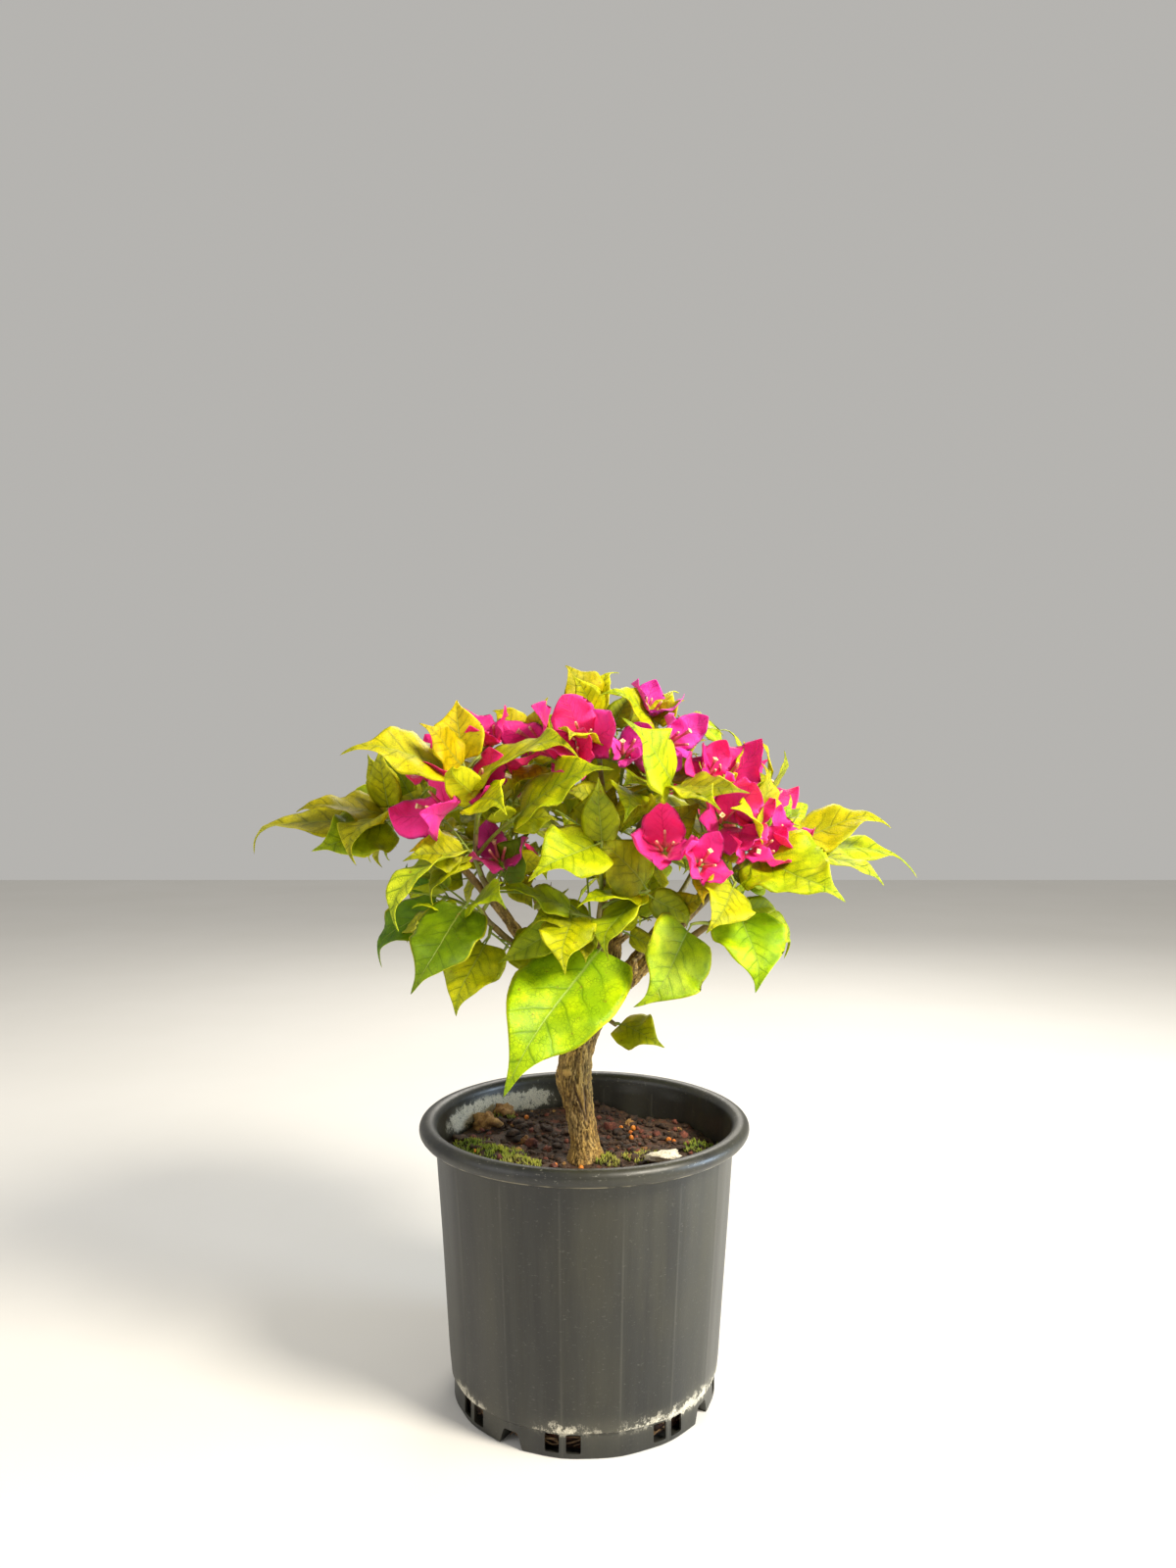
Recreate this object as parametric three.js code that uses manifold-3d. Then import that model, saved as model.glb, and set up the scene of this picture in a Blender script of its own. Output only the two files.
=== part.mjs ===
// A small bougainvillea in a plastic nursery pot, in millimetres, +Z up. The origin is the centre of the
// pot's flat underside, +X runs to the right of the plant's front and the front looks along -Y.
// The pot, the potting mix, the trunk, each bough and each mass of foliage is a solid of its own.
import * as THREE from "three";
import { mergeVertices } from "three/addons/utils/BufferGeometryUtils.js";
import Module from "manifold-3d";

const wasm = await Module();
wasm.setup();

// ---- Driving dimensions -------------------------------------------------------------------------
const GAP = 0.3; // between solids that touch
const POT = {
  height: 165,
  rimRadius: 100,
  rimHeight: 9,
  bodyTopRadius: 90.5,
  bodyFootRadius: 81.3,
  footRadius: 79.5,
  footHeight: 15,
  wall: 1.6,
  sides: 36,
  seamPhase: -8.5, // degrees from the front, where the first of the body's mould seams runs
};
const SLOT = { pairs: 8, width: 8.2, low: 3, high: 13.8, apart: 12 };
const ARCH = { count: 4, topWidth: 8.5, footWidth: 16, height: 9.5, depth: 15, wall: 1.5 };
const SOIL_LEVEL = 137;
const CROWN = { centre: new THREE.Vector3(0, 0, 262), reach: new THREE.Vector3(204, 172, 180) };
const TURN = 137.5; // degrees from one leaf to the next round a shoot
const CLEARANCE = { leaf: 4, otherMass: 7.5, limb: 3 };

const rad = THREE.MathUtils.degToRad;
const point = (p) => new THREE.Vector3(...p);
const mix = (a, b, t) => a + (b - a) * t;
const UP = new THREE.Vector3(0, 0, 1);
const FRONT = new THREE.Vector3(0, -1, 0);

// Random numbers from a seed, by a rule that any language can repeat exactly.
function randomFrom(seed) {
  let state = (seed * 7919 + 104729) % 4294967296;
  const next = () => {
    state = (state * 1664525 + 1013904223) % 4294967296;
    return state / 4294967296;
  };
  next();
  next();
  return next;
}

// ---- Solids -------------------------------------------------------------------------------------
function solidOf(geometry) {
  const bare = geometry.clone();
  bare.deleteAttribute("normal");
  bare.deleteAttribute("uv");
  const merged = mergeVertices(bare, 1e-4);
  const mesh = new wasm.Mesh({
    numProp: 3,
    vertProperties: new Float32Array(merged.attributes.position.array),
    triVerts: new Uint32Array(merged.index.array),
  });
  return new wasm.Manifold(mesh);
}

function geometryOf(solid) {
  const mesh = solid.getMesh();
  const positions = new Float32Array(mesh.numVert * 3);
  for (let i = 0; i < mesh.numVert; i++) {
    const start = i * mesh.numProp;
    positions.set(mesh.vertProperties.subarray(start, start + 3), i * 3);
  }
  const geometry = new THREE.BufferGeometry();
  geometry.setAttribute("position", new THREE.BufferAttribute(positions, 3));
  geometry.setIndex(new THREE.BufferAttribute(mesh.triVerts, 1));
  geometry.computeVertexNormals();
  return geometry;
}

// A cylinder, or a cone where it is pointed, whose skin is moved to place(across, along, thick): along runs
// from 0 to 1, and across and thick are the sine and cosine of the angle round it.
function shapedRod(sides, steps, place, pointed = false) {
  const rod = new THREE.CylinderGeometry(1, pointed ? 0 : 1, 1, sides, steps);
  const skin = rod.attributes.position;
  for (let i = 0; i < skin.count; i++) {
    const along = 0.5 - skin.getY(i);
    const radius = pointed ? Math.max(1 - along, 1e-6) : 1;
    const at = place(skin.getX(i) / radius, along, skin.getZ(i) / radius);
    skin.setXYZ(i, at.x, at.y, at.z);
  }
  return solidOf(rod);
}

// ---- Limbs: the trunk, the boughs and the twigs -------------------------------------------------
// A limb is a tapering tube along a smooth curve, with radii spaced evenly from its foot to its tip.
function radiusAt(radii, along) {
  const place = along * (radii.length - 1);
  const i = Math.min(Math.floor(place), radii.length - 2);
  return mix(radii[i], radii[i + 1], place - i);
}

function tubeSolid(curve, radii, sides, steps, extra = 0, flatFoot = false) {
  return shapedRod(sides, steps, (across, along, thick) => {
    const centre = curve.getPoint(along);
    const ahead = curve.getTangent(along);
    if (flatFoot && along === 0) ahead.copy(UP);
    const side = new THREE.Vector3(0, 1, 0.2).cross(ahead).normalize();
    const normal = ahead.clone().cross(side).negate();
    const radius = radiusAt(radii, along) + extra;
    return centre.addScaledVector(side, across * radius).addScaledVector(normal, -thick * radius);
  });
}

const FOOT = SOIL_LEVEL + GAP;
const LIMBS = {
  trunk: {
    path: [
      [1, 0, FOOT], [0.5, 0, 146], [-3, 0, 168], [-6, 0, 187], [-4, 0, 206], [4, 0, 224], [11, 0, 238],
      [15, 0, 249],
    ],
    radii: [10.5, 8.6, 9.2, 11.2, 10.4, 9.2, 8.6, 6],
  },
  bough_left: {
    on: ["trunk"],
    path: [[8, 0, 236], [-14, -1, 252], [-31, -2, 264], [-41, -3, 277], [-50, -6, 291], [-58, -12, 305]],
    radii: [6.4, 5.4, 4.4, 3.4, 2.7],
  },
  bough_left_far: {
    on: ["bough_left"],
    path: [[-44, -4, 282], [-64, 6, 303], [-78, 7, 318], [-92, 6, 331]],
    radii: [3, 2.5, 2],
  },
  bough_left_low: {
    on: ["bough_left"],
    path: [[-27, -2, 262], [-42, -12, 271], [-54, -20, 283]],
    radii: [2.8, 2.3, 2],
  },
  bough_front: {
    on: ["trunk"],
    path: [[13, -1, 240], [12, -16, 254], [9, -27, 274]],
    radii: [4.4, 3.4, 2.4],
  },
  bough_centre: {
    on: ["trunk"],
    path: [[14, 1, 244], [19, 6, 268], [19, 6, 298], [17, 4, 324], [13, 2, 350]],
    radii: [5.4, 4.6, 3.8, 3.2, 2.5],
  },
  bough_top_right: {
    on: ["bough_centre"],
    path: [[19, 5, 298], [29, 3, 326], [38, 0, 354]],
    radii: [3, 2.5, 2],
  },
  bough_right: {
    on: ["trunk", "bough_centre"],
    path: [[12, 0, 238], [28, -1, 248], [46, -4, 268], [60, -6, 285], [71, -10, 302]],
    radii: [6.2, 5.2, 4.2, 3.2, 2.5],
  },
  bough_right_far: {
    on: ["bough_right"],
    path: [[56, -5, 280], [76, 2, 298], [96, 2, 318]],
    radii: [2.8, 2.4, 2],
  },
  bough_right_low: {
    on: ["bough_right"],
    path: [[42, -3, 264], [58, -15, 272], [73, -24, 284]],
    radii: [2.8, 2.4, 2],
  },
  bough_back_left: {
    on: ["trunk", "bough_left"],
    path: [[4, 3, 240], [-14, 22, 262], [-32, 46, 292]],
    radii: [5, 3.6, 2.5],
  },
  bough_back: {
    on: ["trunk", "bough_centre", "bough_back_left"],
    path: [[11, 3, 244], [14, 26, 268], [12, 48, 300]],
    radii: [4.8, 3.6, 2.5],
  },
  bough_back_right: {
    on: ["trunk", "bough_right", "bough_centre", "bough_back"],
    path: [[17, 3, 242], [38, 22, 264], [60, 42, 292]],
    radii: [5, 3.6, 2.5],
  },
};
for (const limb of Object.values(LIMBS)) limb.curve = new THREE.CatmullRomCurve3(limb.path.map(point));

function limbSolid(name) {
  const limb = LIMBS[name];
  const trunk = name === "trunk";
  const sides = trunk ? 10 : 7;
  const steps = trunk ? 10 : limb.path.length;
  let solid = tubeSolid(limb.curve, limb.radii, sides, steps, 0, trunk);
  for (const carrier of limb.on ?? []) {
    const other = LIMBS[carrier];
    const room = tubeSolid(other.curve, other.radii, 10, 12, GAP + 0.1);
    solid = solid.subtract(room);
  }
  return largestOf(solid);
}

function largestOf(solid) {
  return solid.decompose().reduce((best, one) => (one.volume() > best.volume() ? one : best));
}

// ---- Blades: leaves and bracts ------------------------------------------------------------------
// A blade runs from its root on the twig to its tip along one arc. The first share of it is the stalk.
const LEAF = {
  stalk: 0.16,
  widths: [
    [0, 0.05], [0.07, 0.36], [0.2, 0.86], [0.36, 1], [0.55, 0.82], [0.75, 0.4], [0.9, 0.12], [1, 0.02],
  ],
  stations: [0, 0.19, 0.42, 0.72, 1],
};
const BRACT = {
  stalk: 0.06,
  widths: [[0, 0.08], [0.1, 0.36], [0.28, 0.8], [0.45, 1], [0.7, 0.84], [0.88, 0.42], [1, 0.04]],
  stations: [0, 0.28, 0.62, 1],
};
const FILLER = { ...LEAF, stations: [0, 0.19, 0.45, 1] };
const STALK_RADIUS = 0.75;

function widthShare(kind, share) {
  const table = kind.widths;
  const i = Math.max(1, table.findIndex(([at]) => at >= share));
  const [from, low] = table[i - 1];
  const [to, high] = table[i];
  return mix(low, high, (share - from) / (to - from));
}

function blade(kind, root, tip, width, { facing, roll = 0, bend = 40, fold = 24, twist = 0 }) {
  const chord = tip.clone().sub(root);
  const ahead = chord.clone().normalize();
  const normal = facing.clone().addScaledVector(ahead, -facing.dot(ahead)).normalize();
  normal.applyAxisAngle(ahead, rad(roll));
  const turn = rad(bend);
  const radius = chord.length() / (2 * Math.sin(turn / 2));
  const at = (along, across, thick = 0) => {
    const angle = turn * (along - 0.5);
    const centre = root.clone()
      .addScaledVector(ahead, radius * (Math.sin(angle) + Math.sin(turn / 2)))
      .addScaledVector(normal, radius * (Math.cos(angle) - Math.cos(turn / 2)));
    const forward = ahead.clone().multiplyScalar(Math.cos(angle)).addScaledVector(normal, -Math.sin(angle));
    const above = normal.clone().multiplyScalar(Math.cos(angle)).addScaledVector(ahead, Math.sin(angle));
    above.applyAxisAngle(forward, rad(twist) * (along - 0.3));
    const side = above.clone().cross(forward);
    const share = (along - kind.stalk) / (1 - kind.stalk);
    let half = STALK_RADIUS;
    let rise = 0;
    if (share > 0) {
      half = Math.max(0.6 * STALK_RADIUS, (width / 2) * widthShare(kind, share));
      rise = Math.sin(rad(fold));
    }
    return centre
      .addScaledVector(side, across * half * Math.cos(rad(fold)))
      .addScaledVector(above, Math.abs(across) * half * rise + thick);
  };
  const samples = [];
  for (let i = 2; i <= 8; i++)
    for (const across of [-1, -0.5, 0, 0.5, 1]) samples.push(at(i / 8, across));
  return { kind, at, samples, length: chord.length() };
}

function bladeSolid({ kind, at, length }) {
  const halfThick = Math.max(0.45, 0.0065 * length);
  const stations = kind.stations;
  const last = stations.length - 1;
  const place = (across, along, thick) => {
    const station = stations[Math.round(along * last)];
    return at(station, across, thick * (station < kind.stalk ? STALK_RADIUS : halfThick));
  };
  return shapedRod(4, last, place, true);
}

// ---- The masses of foliage ----------------------------------------------------------------------
// A mass grows from its bough's tip: a stem to its heart, then shoots that leave the stem. A shoot's first
// leaves reach the tips given, [x, y, z, width, roll, bend], and its clusters of three bracts stand where
// [x, y, z, size] says. The seeded rule adds "more" leaves, and whole shoots where a mass has "free" ones.
const MASSES = {
  foliage_left: {
    on: "bough_left_far", seed: 11, heart: [-108, 3, 342],
    shoots: [
      {
        from: 0.9, to: [-119, 2, 346], more: 1,
        leaves: [
          [-205, 12, 323, 34, 8], [-173, -12, 350, 32, 8], [-160, -27, 328, 42, -28, 4],
          [-130, -44, 321, 30, -10, 85],
        ],
      },
      { from: 0.5, to: [-107, 24, 357], more: 2, leaves: [[-131, 32, 360, 20, 0], [-126, 44, 374, 17, 20]] },
    ],
  },
  foliage_left_top: {
    on: "bough_left", seed: 12, heart: [-62, -28, 348],
    shoots: [
      {
        from: 0.95, to: [-70, -34, 379], more: 1,
        leaves: [
          [-75, -22, 417, 30, 15], [-92, -58, 402, 26, 28], [-135, -64, 384, 40, 3], [-2, -64, 381, 38, -25],
        ],
        bracts: [[-82, -16, 377, 0.9], [-55, -14, 391, 0.9]],
      },
      {
        from: 0.8, to: [-60, -46, 360], more: 0,
        leaves: [[-40, -98, 352, 28, 5], [-70, -78, 378, 20, 0]],
        bracts: [[-79, -43, 352, 1.1]],
      },
      {
        from: 0.2, to: [-66, -46, 330], more: 0,
        leaves: [[-100, -78, 288, 28, 20, 80], [-84, -60, 300, 18, 15], [-101, -62, 325, 27, -18]],
      },
      { from: 0.5, to: [-40, -42, 348], more: 1, leaves: [[17, -72, 376, 40, -22], [-15, -36, 346, 20, 0]] },
    ],
  },
  foliage_left_low: {
    on: "bough_left_low", seed: 13, heart: [-60, -28, 294],
    shoots: [
      {
        from: 0.7, to: [-66, -40, 301], more: 0,
        leaves: [[-94, -78, 254, 40, -10], [-42, -77, 300, 24, -5]],
      },
      { from: 0.5, to: [-84, -14, 300], more: 1, leaves: [[-120, -20, 258, 34, -5]] },
      { from: 0.1, to: [-56, -26, 277], more: 1, leaves: [[-73, -46, 235, 33, -20]] },
      {
        from: 0.9, to: [-48, -14, 308], more: 0, leaves: [[-30, -31, 341, 25, 20]],
        bracts: [[-42, -4, 314, 0.75]],
      },
    ],
  },
  foliage_front: {
    on: "bough_front", seed: 14, heart: [10, -38, 302],
    shoots: [
      { from: 0.04, to: [13, -33, 276], more: 0, leaves: [[-43, -88, 201, 58, 0]] },
      { from: 0.98, to: [10, -50, 336], more: 0, leaves: [[-30, -88, 316, 38, -3], [8, -52, 372, 20, 0]] },
      {
        from: 0.8, to: [38, -36, 306], more: 1,
        leaves: [[6, -45, 339, 34, 0], [-4, -60, 299, 26, 35], [14, -70, 271, 28, 45]],
      },
      {
        from: 0.5, to: [-8, -44, 294], more: 0,
        leaves: [
          [-10, -76, 264, 30, -3], [-30, -57, 287, 18, 5], [-52, -46, 306, 26, 40], [-50, -38, 264, 20, -30],
          [-2, -28, 262, 18, 0],
        ],
      },
    ],
  },
  foliage_top: {
    on: "bough_centre", seed: 24, heart: [9, -3, 386],
    shoots: [
      {
        from: 0.98, to: [8, 8, 412], more: 2,
        leaves: [[-12, 10, 440, 27, -48], [22, 20, 436, 16, -60]],
      },
      {
        from: 0.85, to: [2, -22, 392], more: 0, leaves: [[-8, -66, 392, 25, 0]],
        bracts: [[0, -24, 392, 1.15], [-26, -10, 390, 1]],
      },
      { from: 0.7, to: [-37, 5, 391], more: 2, leaves: [[-57, 12, 412, 22, 8], [-22, 0, 420, 18, 22]] },
      { from: 0.25, to: [24, -18, 366], more: 0, leaves: [[22, -60, 346, 26, -12]] },
    ],
  },
  foliage_top_right: {
    on: "bough_top_right", seed: 16, heart: [43, -6, 384],
    shoots: [
      {
        from: 0.98, to: [44, 0, 404], more: 1,
        leaves: [[8, -24, 419, 25, 3], [61, 0, 418, 15, -38], [60, 28, 424, 16, -60]],
        bracts: [[38, 6, 408, 0.9], [52, -8, 392, 0.85]],
      },
      {
        from: 0.5, to: [52, -44, 364], more: 0,
        leaves: [[20, -88, 404, 38, -5], [92, -64, 363, 24, -5], [74, -80, 354, 26, 0]],
      },
      {
        from: 0.2, to: [36, -16, 372], more: 0, leaves: [[22, -46, 366, 22, 0]],
        bracts: [[36, -14, 376, 0.9]],
      },
    ],
  },
  foliage_right: {
    on: "bough_right", seed: 17, heart: [82, -20, 336],
    shoots: [
      {
        from: 0.98, to: [90, -18, 362], more: 1, leaves: [[95, -12, 393, 18, 8], [78, -27, 377, 15, -25]],
        bracts: [[82, -22, 366, 1.1], [80, -36, 345, 1]],
      },
      { from: 0.9, to: [104, -26, 340], more: 1, leaves: [[104, -22, 380, 22, 18], [80, -70, 355, 26, -3]] },
      { from: 0.6, to: [62, -46, 322], more: 1, bracts: [[46, -46, 330, 1], [66, -51, 322, 0.8]] },
    ],
  },
  foliage_right_far: {
    on: "bough_right_far", seed: 28, heart: [110, -2, 328],
    shoots: [
      {
        from: 0.98, to: [120, 0, 331], more: 1,
        leaves: [[205, 6, 309, 28, -15], [187, -2, 340, 34, -12], [177, -24, 307, 34, -5]],
        bracts: [[117, -10, 334, 0.75]],
      },
      { from: 0.4, to: [101, -20, 328], more: 0, leaves: [[146, -60, 302, 54, 22, -15]] },
      { from: 0.6, to: [116, 22, 336], more: 1, leaves: [[130, 26, 360, 16, 28], [138, 38, 350, 16, 0]] },
    ],
  },
  foliage_right_low: {
    on: "bough_right_low", seed: 19, heart: [84, -34, 295],
    shoots: [
      { from: 0.98, to: [86, -48, 312], more: 0, leaves: [[66, -78, 287, 30, -5]] },
      { from: 0.9, to: [89, -38, 296], more: 1, leaves: [[95, -64, 252, 40, 18], [122, 0, 260, 28, 5]] },
      { from: 0.1, to: [62, -34, 286], more: 0, leaves: [[27, -68, 245, 42, -12]] },
    ],
  },
  foliage_trunk: {
    on: "trunk", at: [12.6, -7, 226], seed: 20, heart: [19, -15, 223],
    shoots: [{ from: 0.9, to: [21, -16, 224], more: 0, leaves: [[47, -34, 214, 21, 5]] }],
  },
  foliage_back_left: {
    on: "bough_back_left", seed: 21, heart: [-48, 66, 322], free: 4, spread: 62, lift: 36,
  },
  foliage_back: { on: "bough_back", seed: 22, heart: [8, 66, 344], free: 4, spread: 58, lift: 44 },
  foliage_back_right: {
    on: "bough_back_right", seed: 23, heart: [76, 58, 318], free: 4, spread: 62, lift: 36,
  },
};
const FREE_SHOOT = { leaves: 4, bractShare: 0.5 };
const LEAF_LENGTH = [34, 58];
const BRACT_LENGTH = 30;

// What has grown so far, for the rule to keep clear of.
const grown = [];
const limbPoints = Object.values(LIMBS).flatMap(({ curve, radii }) =>
  Array.from({ length: 21 }, (_, i) => ({ at: curve.getPoint(i / 20), radius: radiusAt(radii, i / 20) })),
);

function inCrown(p) {
  const off = p.clone().sub(CROWN.centre).divide(CROWN.reach);
  return off.length() < 1 && (p.z > POT.height + 10 || Math.hypot(p.x, p.y) > POT.rimRadius + 25);
}

function hasRoom(samples, mass) {
  return samples.every((p) => {
    if (!inCrown(p)) return false;
    if (limbPoints.some(({ at, radius }) => p.distanceTo(at) < radius + CLEARANCE.limb)) return false;
    return !grown.some((other) => {
      const clear = other.mass === mass ? CLEARANCE.leaf : CLEARANCE.otherMass;
      return other.samples.some((q) => p.distanceToSquared(q) < clear * clear);
    });
  });
}

// Blades turn their upper face up, outwards and a little to the front, where the light came from.
function outwardAt(p) {
  const out = new THREE.Vector3(p.x, p.y, 0).normalize();
  return out.multiplyScalar(0.5).addScaledVector(UP, 0.6).addScaledVector(FRONT, 0.5).normalize();
}

// One twig: a slightly arching curve from a to b.
function arching(a, b, lift) {
  const middle = a.clone().lerp(b, 0.5).addScaledVector(UP, lift * a.distanceTo(b));
  return new THREE.QuadraticBezierCurve3(a, middle, b);
}

// A stem goes on in its bough's direction and bends to the heart of its mass.
function stemOf({ on, at, heart }) {
  const limb = LIMBS[on];
  const end = point(heart);
  const tip = at ? point(at) : limb.curve.getPoint(1);
  const ahead = at ? end.clone().sub(tip).normalize() : limb.curve.getTangent(1);
  const foot = tip.clone().addScaledVector(ahead, at ? 0 : GAP);
  const middle = foot.clone().addScaledVector(ahead, 0.45 * foot.distanceTo(end));
  return { curve: new THREE.QuadraticBezierCurve3(foot, middle, end), radii: [at ? 1.6 : 2, 1.3] };
}

function addTwig(mass, curve, radii) {
  const count = Math.ceil(curve.getLength() / 4);
  mass.twigs.push({ curve, radii });
  grown.push({ mass, samples: curve.getPoints(count).slice(1) });
  return curve;
}

function addBlade(mass, made, mustHaveRoom) {
  if (mustHaveRoom && !hasRoom(made.samples, mass)) return false;
  grown.push({ mass, samples: made.samples });
  mass.blades.push(made);
  return true;
}

function addLeaf(mass, kind, root, reach, width, roll, bend = mass.between(12, 40)) {
  const facing = outwardAt(root.clone().lerp(reach, 0.5));
  const fold = mass.between(10, 26);
  const twist = mass.between(-25, 25);
  const made = blade(kind, root, reach, width, { facing, roll, bend, fold, twist });
  return addBlade(mass, made, kind === FILLER);
}

// Three bracts round a point at a twig's tip, opening along the axis.
function addBracts(mass, root, axis, size, mustHaveRoom) {
  const across = new THREE.Vector3(0.3, 0.8, 0.5).cross(axis).normalize();
  const phase = mass.between(0, 120);
  for (let i = 0; i < 3; i++) {
    const away = across.clone().applyAxisAngle(axis, rad(phase + 120 * i));
    const length = BRACT_LENGTH * size * mass.between(0.9, 1.1);
    const base = root.clone().addScaledVector(away, 0.6).addScaledVector(axis, -1.4);
    const reach = root.clone().addScaledVector(axis, length * 0.8).addScaledVector(away, length * 0.6);
    const look = { facing: away, bend: mass.between(25, 50), fold: 6, twist: mass.between(-8, 8) };
    addBlade(mass, blade(BRACT, base, reach, length * mass.between(0.78, 0.9), look), mustHaveRoom);
  }
}

// The stem, the shoots, and the leaves and bracts whose places are given.
function startMass(name) {
  const plan = MASSES[name];
  const random = randomFrom(plan.seed);
  const between = (low, high) => mix(low, high, random());
  const mass = { name, between, twigs: [], blades: [], shoots: [] };
  const { curve: stem, radii } = stemOf(plan);
  addTwig(mass, stem, radii);

  const shoots = [...(plan.shoots ?? [])];
  const [x, y, z] = plan.heart;
  for (let i = 0; i < (plan.free ?? 0); i++) {
    const turn = rad(between(-15, 15) + (360 / plan.free) * i);
    const out = plan.spread * between(0.55, 0.85);
    const to = [x + out * Math.cos(turn), y + out * Math.sin(turn), z + plan.lift * between(0, 1.1)];
    const from = between(0.5, 1);
    shoots.push({ from, to, more: FREE_SHOOT.leaves, cluster: random() < FREE_SHOOT.bractShare });
  }
  for (const { from, to, leaves = [], bracts = [], more, cluster } of shoots) {
    const curve = addTwig(mass, arching(stem.getPoint(from), point(to), 0.1), [1.3, 0.9]);
    leaves.forEach(([tipX, tipY, tipZ, width, roll, bend], i) => {
      const tip = new THREE.Vector3(tipX, tipY, tipZ);
      addLeaf(mass, LEAF, curve.getPoint(0.96 - 0.1 * i), tip, width, roll, bend);
    });
    for (const [rootX, rootY, rootZ, size] of bracts) {
      const root = new THREE.Vector3(rootX, rootY, rootZ);
      const foot = curve.getPoint(0.85);
      addTwig(mass, arching(foot, root, 0.05), [0.8, 1.7]);
      const axis = root.clone().sub(foot).normalize().multiplyScalar(0.4);
      addBracts(mass, root, axis.add(outwardAt(root)).normalize(), size, false);
    }
    mass.shoots.push({ curve, more, cluster });
  }
  return mass;
}

// The seeded leaves round each shoot, and bracts at some shoots' tips, where there is room for them.
function fillMass(mass) {
  for (const { curve, more, cluster } of mass.shoots) {
    if (cluster) {
      const root = curve.getPoint(1);
      const axis = outwardAt(root).add(curve.getTangent(1).multiplyScalar(0.5)).normalize();
      addBracts(mass, root, axis, 1, true);
    }
    const phase = mass.between(0, 360);
    for (let i = 0; i < more; i++) {
      const along = 0.96 - 0.75 * ((i + 0.3) / Math.max(more, 3));
      const root = curve.getPoint(along);
      const tangent = curve.getTangent(along);
      const across = new THREE.Vector3(0.2, 0.3, 1).cross(tangent).normalize();
      for (let attempt = 0; attempt < 6; attempt++) {
        const tilt = rad(mass.between(40, 75));
        const away = across.clone().applyAxisAngle(tangent, rad(phase + TURN * i + 60 * attempt));
        const heading = tangent.clone().multiplyScalar(Math.cos(tilt)).addScaledVector(away, Math.sin(tilt));
        heading.addScaledVector(UP, -mass.between(0, 0.45)).normalize();
        const length = mass.between(...LEAF_LENGTH) * (1 - 0.08 * attempt);
        const reach = root.clone().addScaledVector(heading, length);
        const width = length * mass.between(0.5, 0.64);
        if (addLeaf(mass, FILLER, root, reach, width, mass.between(-25, 25))) break;
      }
    }
  }
}

function massSolid({ twigs, blades }) {
  const parts = twigs.map(({ curve, radii }) => tubeSolid(curve, radii, 3, curve.getLength() > 24 ? 2 : 1));
  parts.push(...blades.map(bladeSolid));
  return largestOf(wasm.Manifold.union(parts));
}

// ---- The pot and the potting mix ----------------------------------------------------------------
function lathed(profile, sides) {
  const outline = profile.map(([r, z]) => new THREE.Vector2(r, z));
  return solidOf(new THREE.LatheGeometry(outline, sides).rotateX(Math.PI / 2));
}

// A block that reaches outwards at an angle from the front, between two distances from the axis.
function radialBlock(angle, near, far, width, low, high) {
  const block = new THREE.BoxGeometry(width, far - near, high - low);
  block.translate(0, -(near + far) / 2, (low + high) / 2);
  return block.rotateZ(rad(angle));
}

function archBlock(angle, grow) {
  const foot = ARCH.footWidth / 2 + grow;
  const top = ARCH.topWidth / 2 + grow;
  const outline = new THREE.Shape();
  outline.moveTo(-foot, -1);
  outline.lineTo(foot, -1);
  outline.lineTo(top, ARCH.height + grow);
  outline.lineTo(-top, ARCH.height + grow);
  const length = ARCH.depth + grow + 5;
  const block = new THREE.ExtrudeGeometry(outline, { depth: length, bevelEnabled: false });
  block.rotateX(Math.PI / 2);
  block.translate(0, length - POT.footRadius - 5, 0);
  return block.rotateZ(rad(angle));
}

// The radius of the body's outside at a height.
function wallAt(z) {
  const bodyHeight = POT.height - POT.rimHeight - POT.footHeight;
  return mix(POT.bodyFootRadius, POT.bodyTopRadius, (z - POT.footHeight) / bodyHeight);
}

function potSolid() {
  const { height, rimRadius, rimHeight, bodyTopRadius, bodyFootRadius, footRadius, footHeight, wall } = POT;
  const lipFoot = height - rimHeight;
  const inner = bodyTopRadius - wall;
  const profile = [
    [0, 0], [footRadius, 0], [footRadius, footHeight - 1], [bodyFootRadius, footHeight + 0.4],
    [bodyTopRadius, lipFoot], [bodyTopRadius + 1.5, height - 4], [rimRadius - wall, height - 5],
    [rimRadius - wall, lipFoot], [rimRadius, lipFoot], [rimRadius, height - 5], [rimRadius - 2, height - 1],
    [rimRadius - 4.5, height], [inner + 2.4, height - 1], [inner + 0.4, height - 5], [inner, lipFoot],
    [bodyFootRadius - wall, footHeight + 0.4], [footRadius - wall, footHeight - 1], [footRadius - wall, wall],
    [0, wall],
  ];
  let pot = lathed(profile, POT.sides);
  const inside = footRadius - 0.2;
  const keep = lathed([[0, 0], [inside, 0], [inside, footHeight + 4], [0, footHeight + 4]], POT.sides);
  for (let i = 0; i < ARCH.count; i++) {
    const angle = POT.seamPhase - 22.5 + (360 / ARCH.count) * i;
    pot = pot.add(solidOf(archBlock(angle, ARCH.wall)).intersect(keep));
    pot = pot.subtract(solidOf(archBlock(angle, 0)));
  }
  for (let i = 0; i < SLOT.pairs; i++)
    for (const side of [-0.5, 0.5]) {
      const aside = THREE.MathUtils.radToDeg((side * SLOT.apart) / footRadius);
      const turn = POT.seamPhase + (360 / SLOT.pairs) * i + aside;
      const block = radialBlock(turn, footRadius - 4, footRadius + 2, SLOT.width, SLOT.low, SLOT.high);
      pot = pot.subtract(solidOf(block));
    }
  return largestOf(pot);
}

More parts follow.
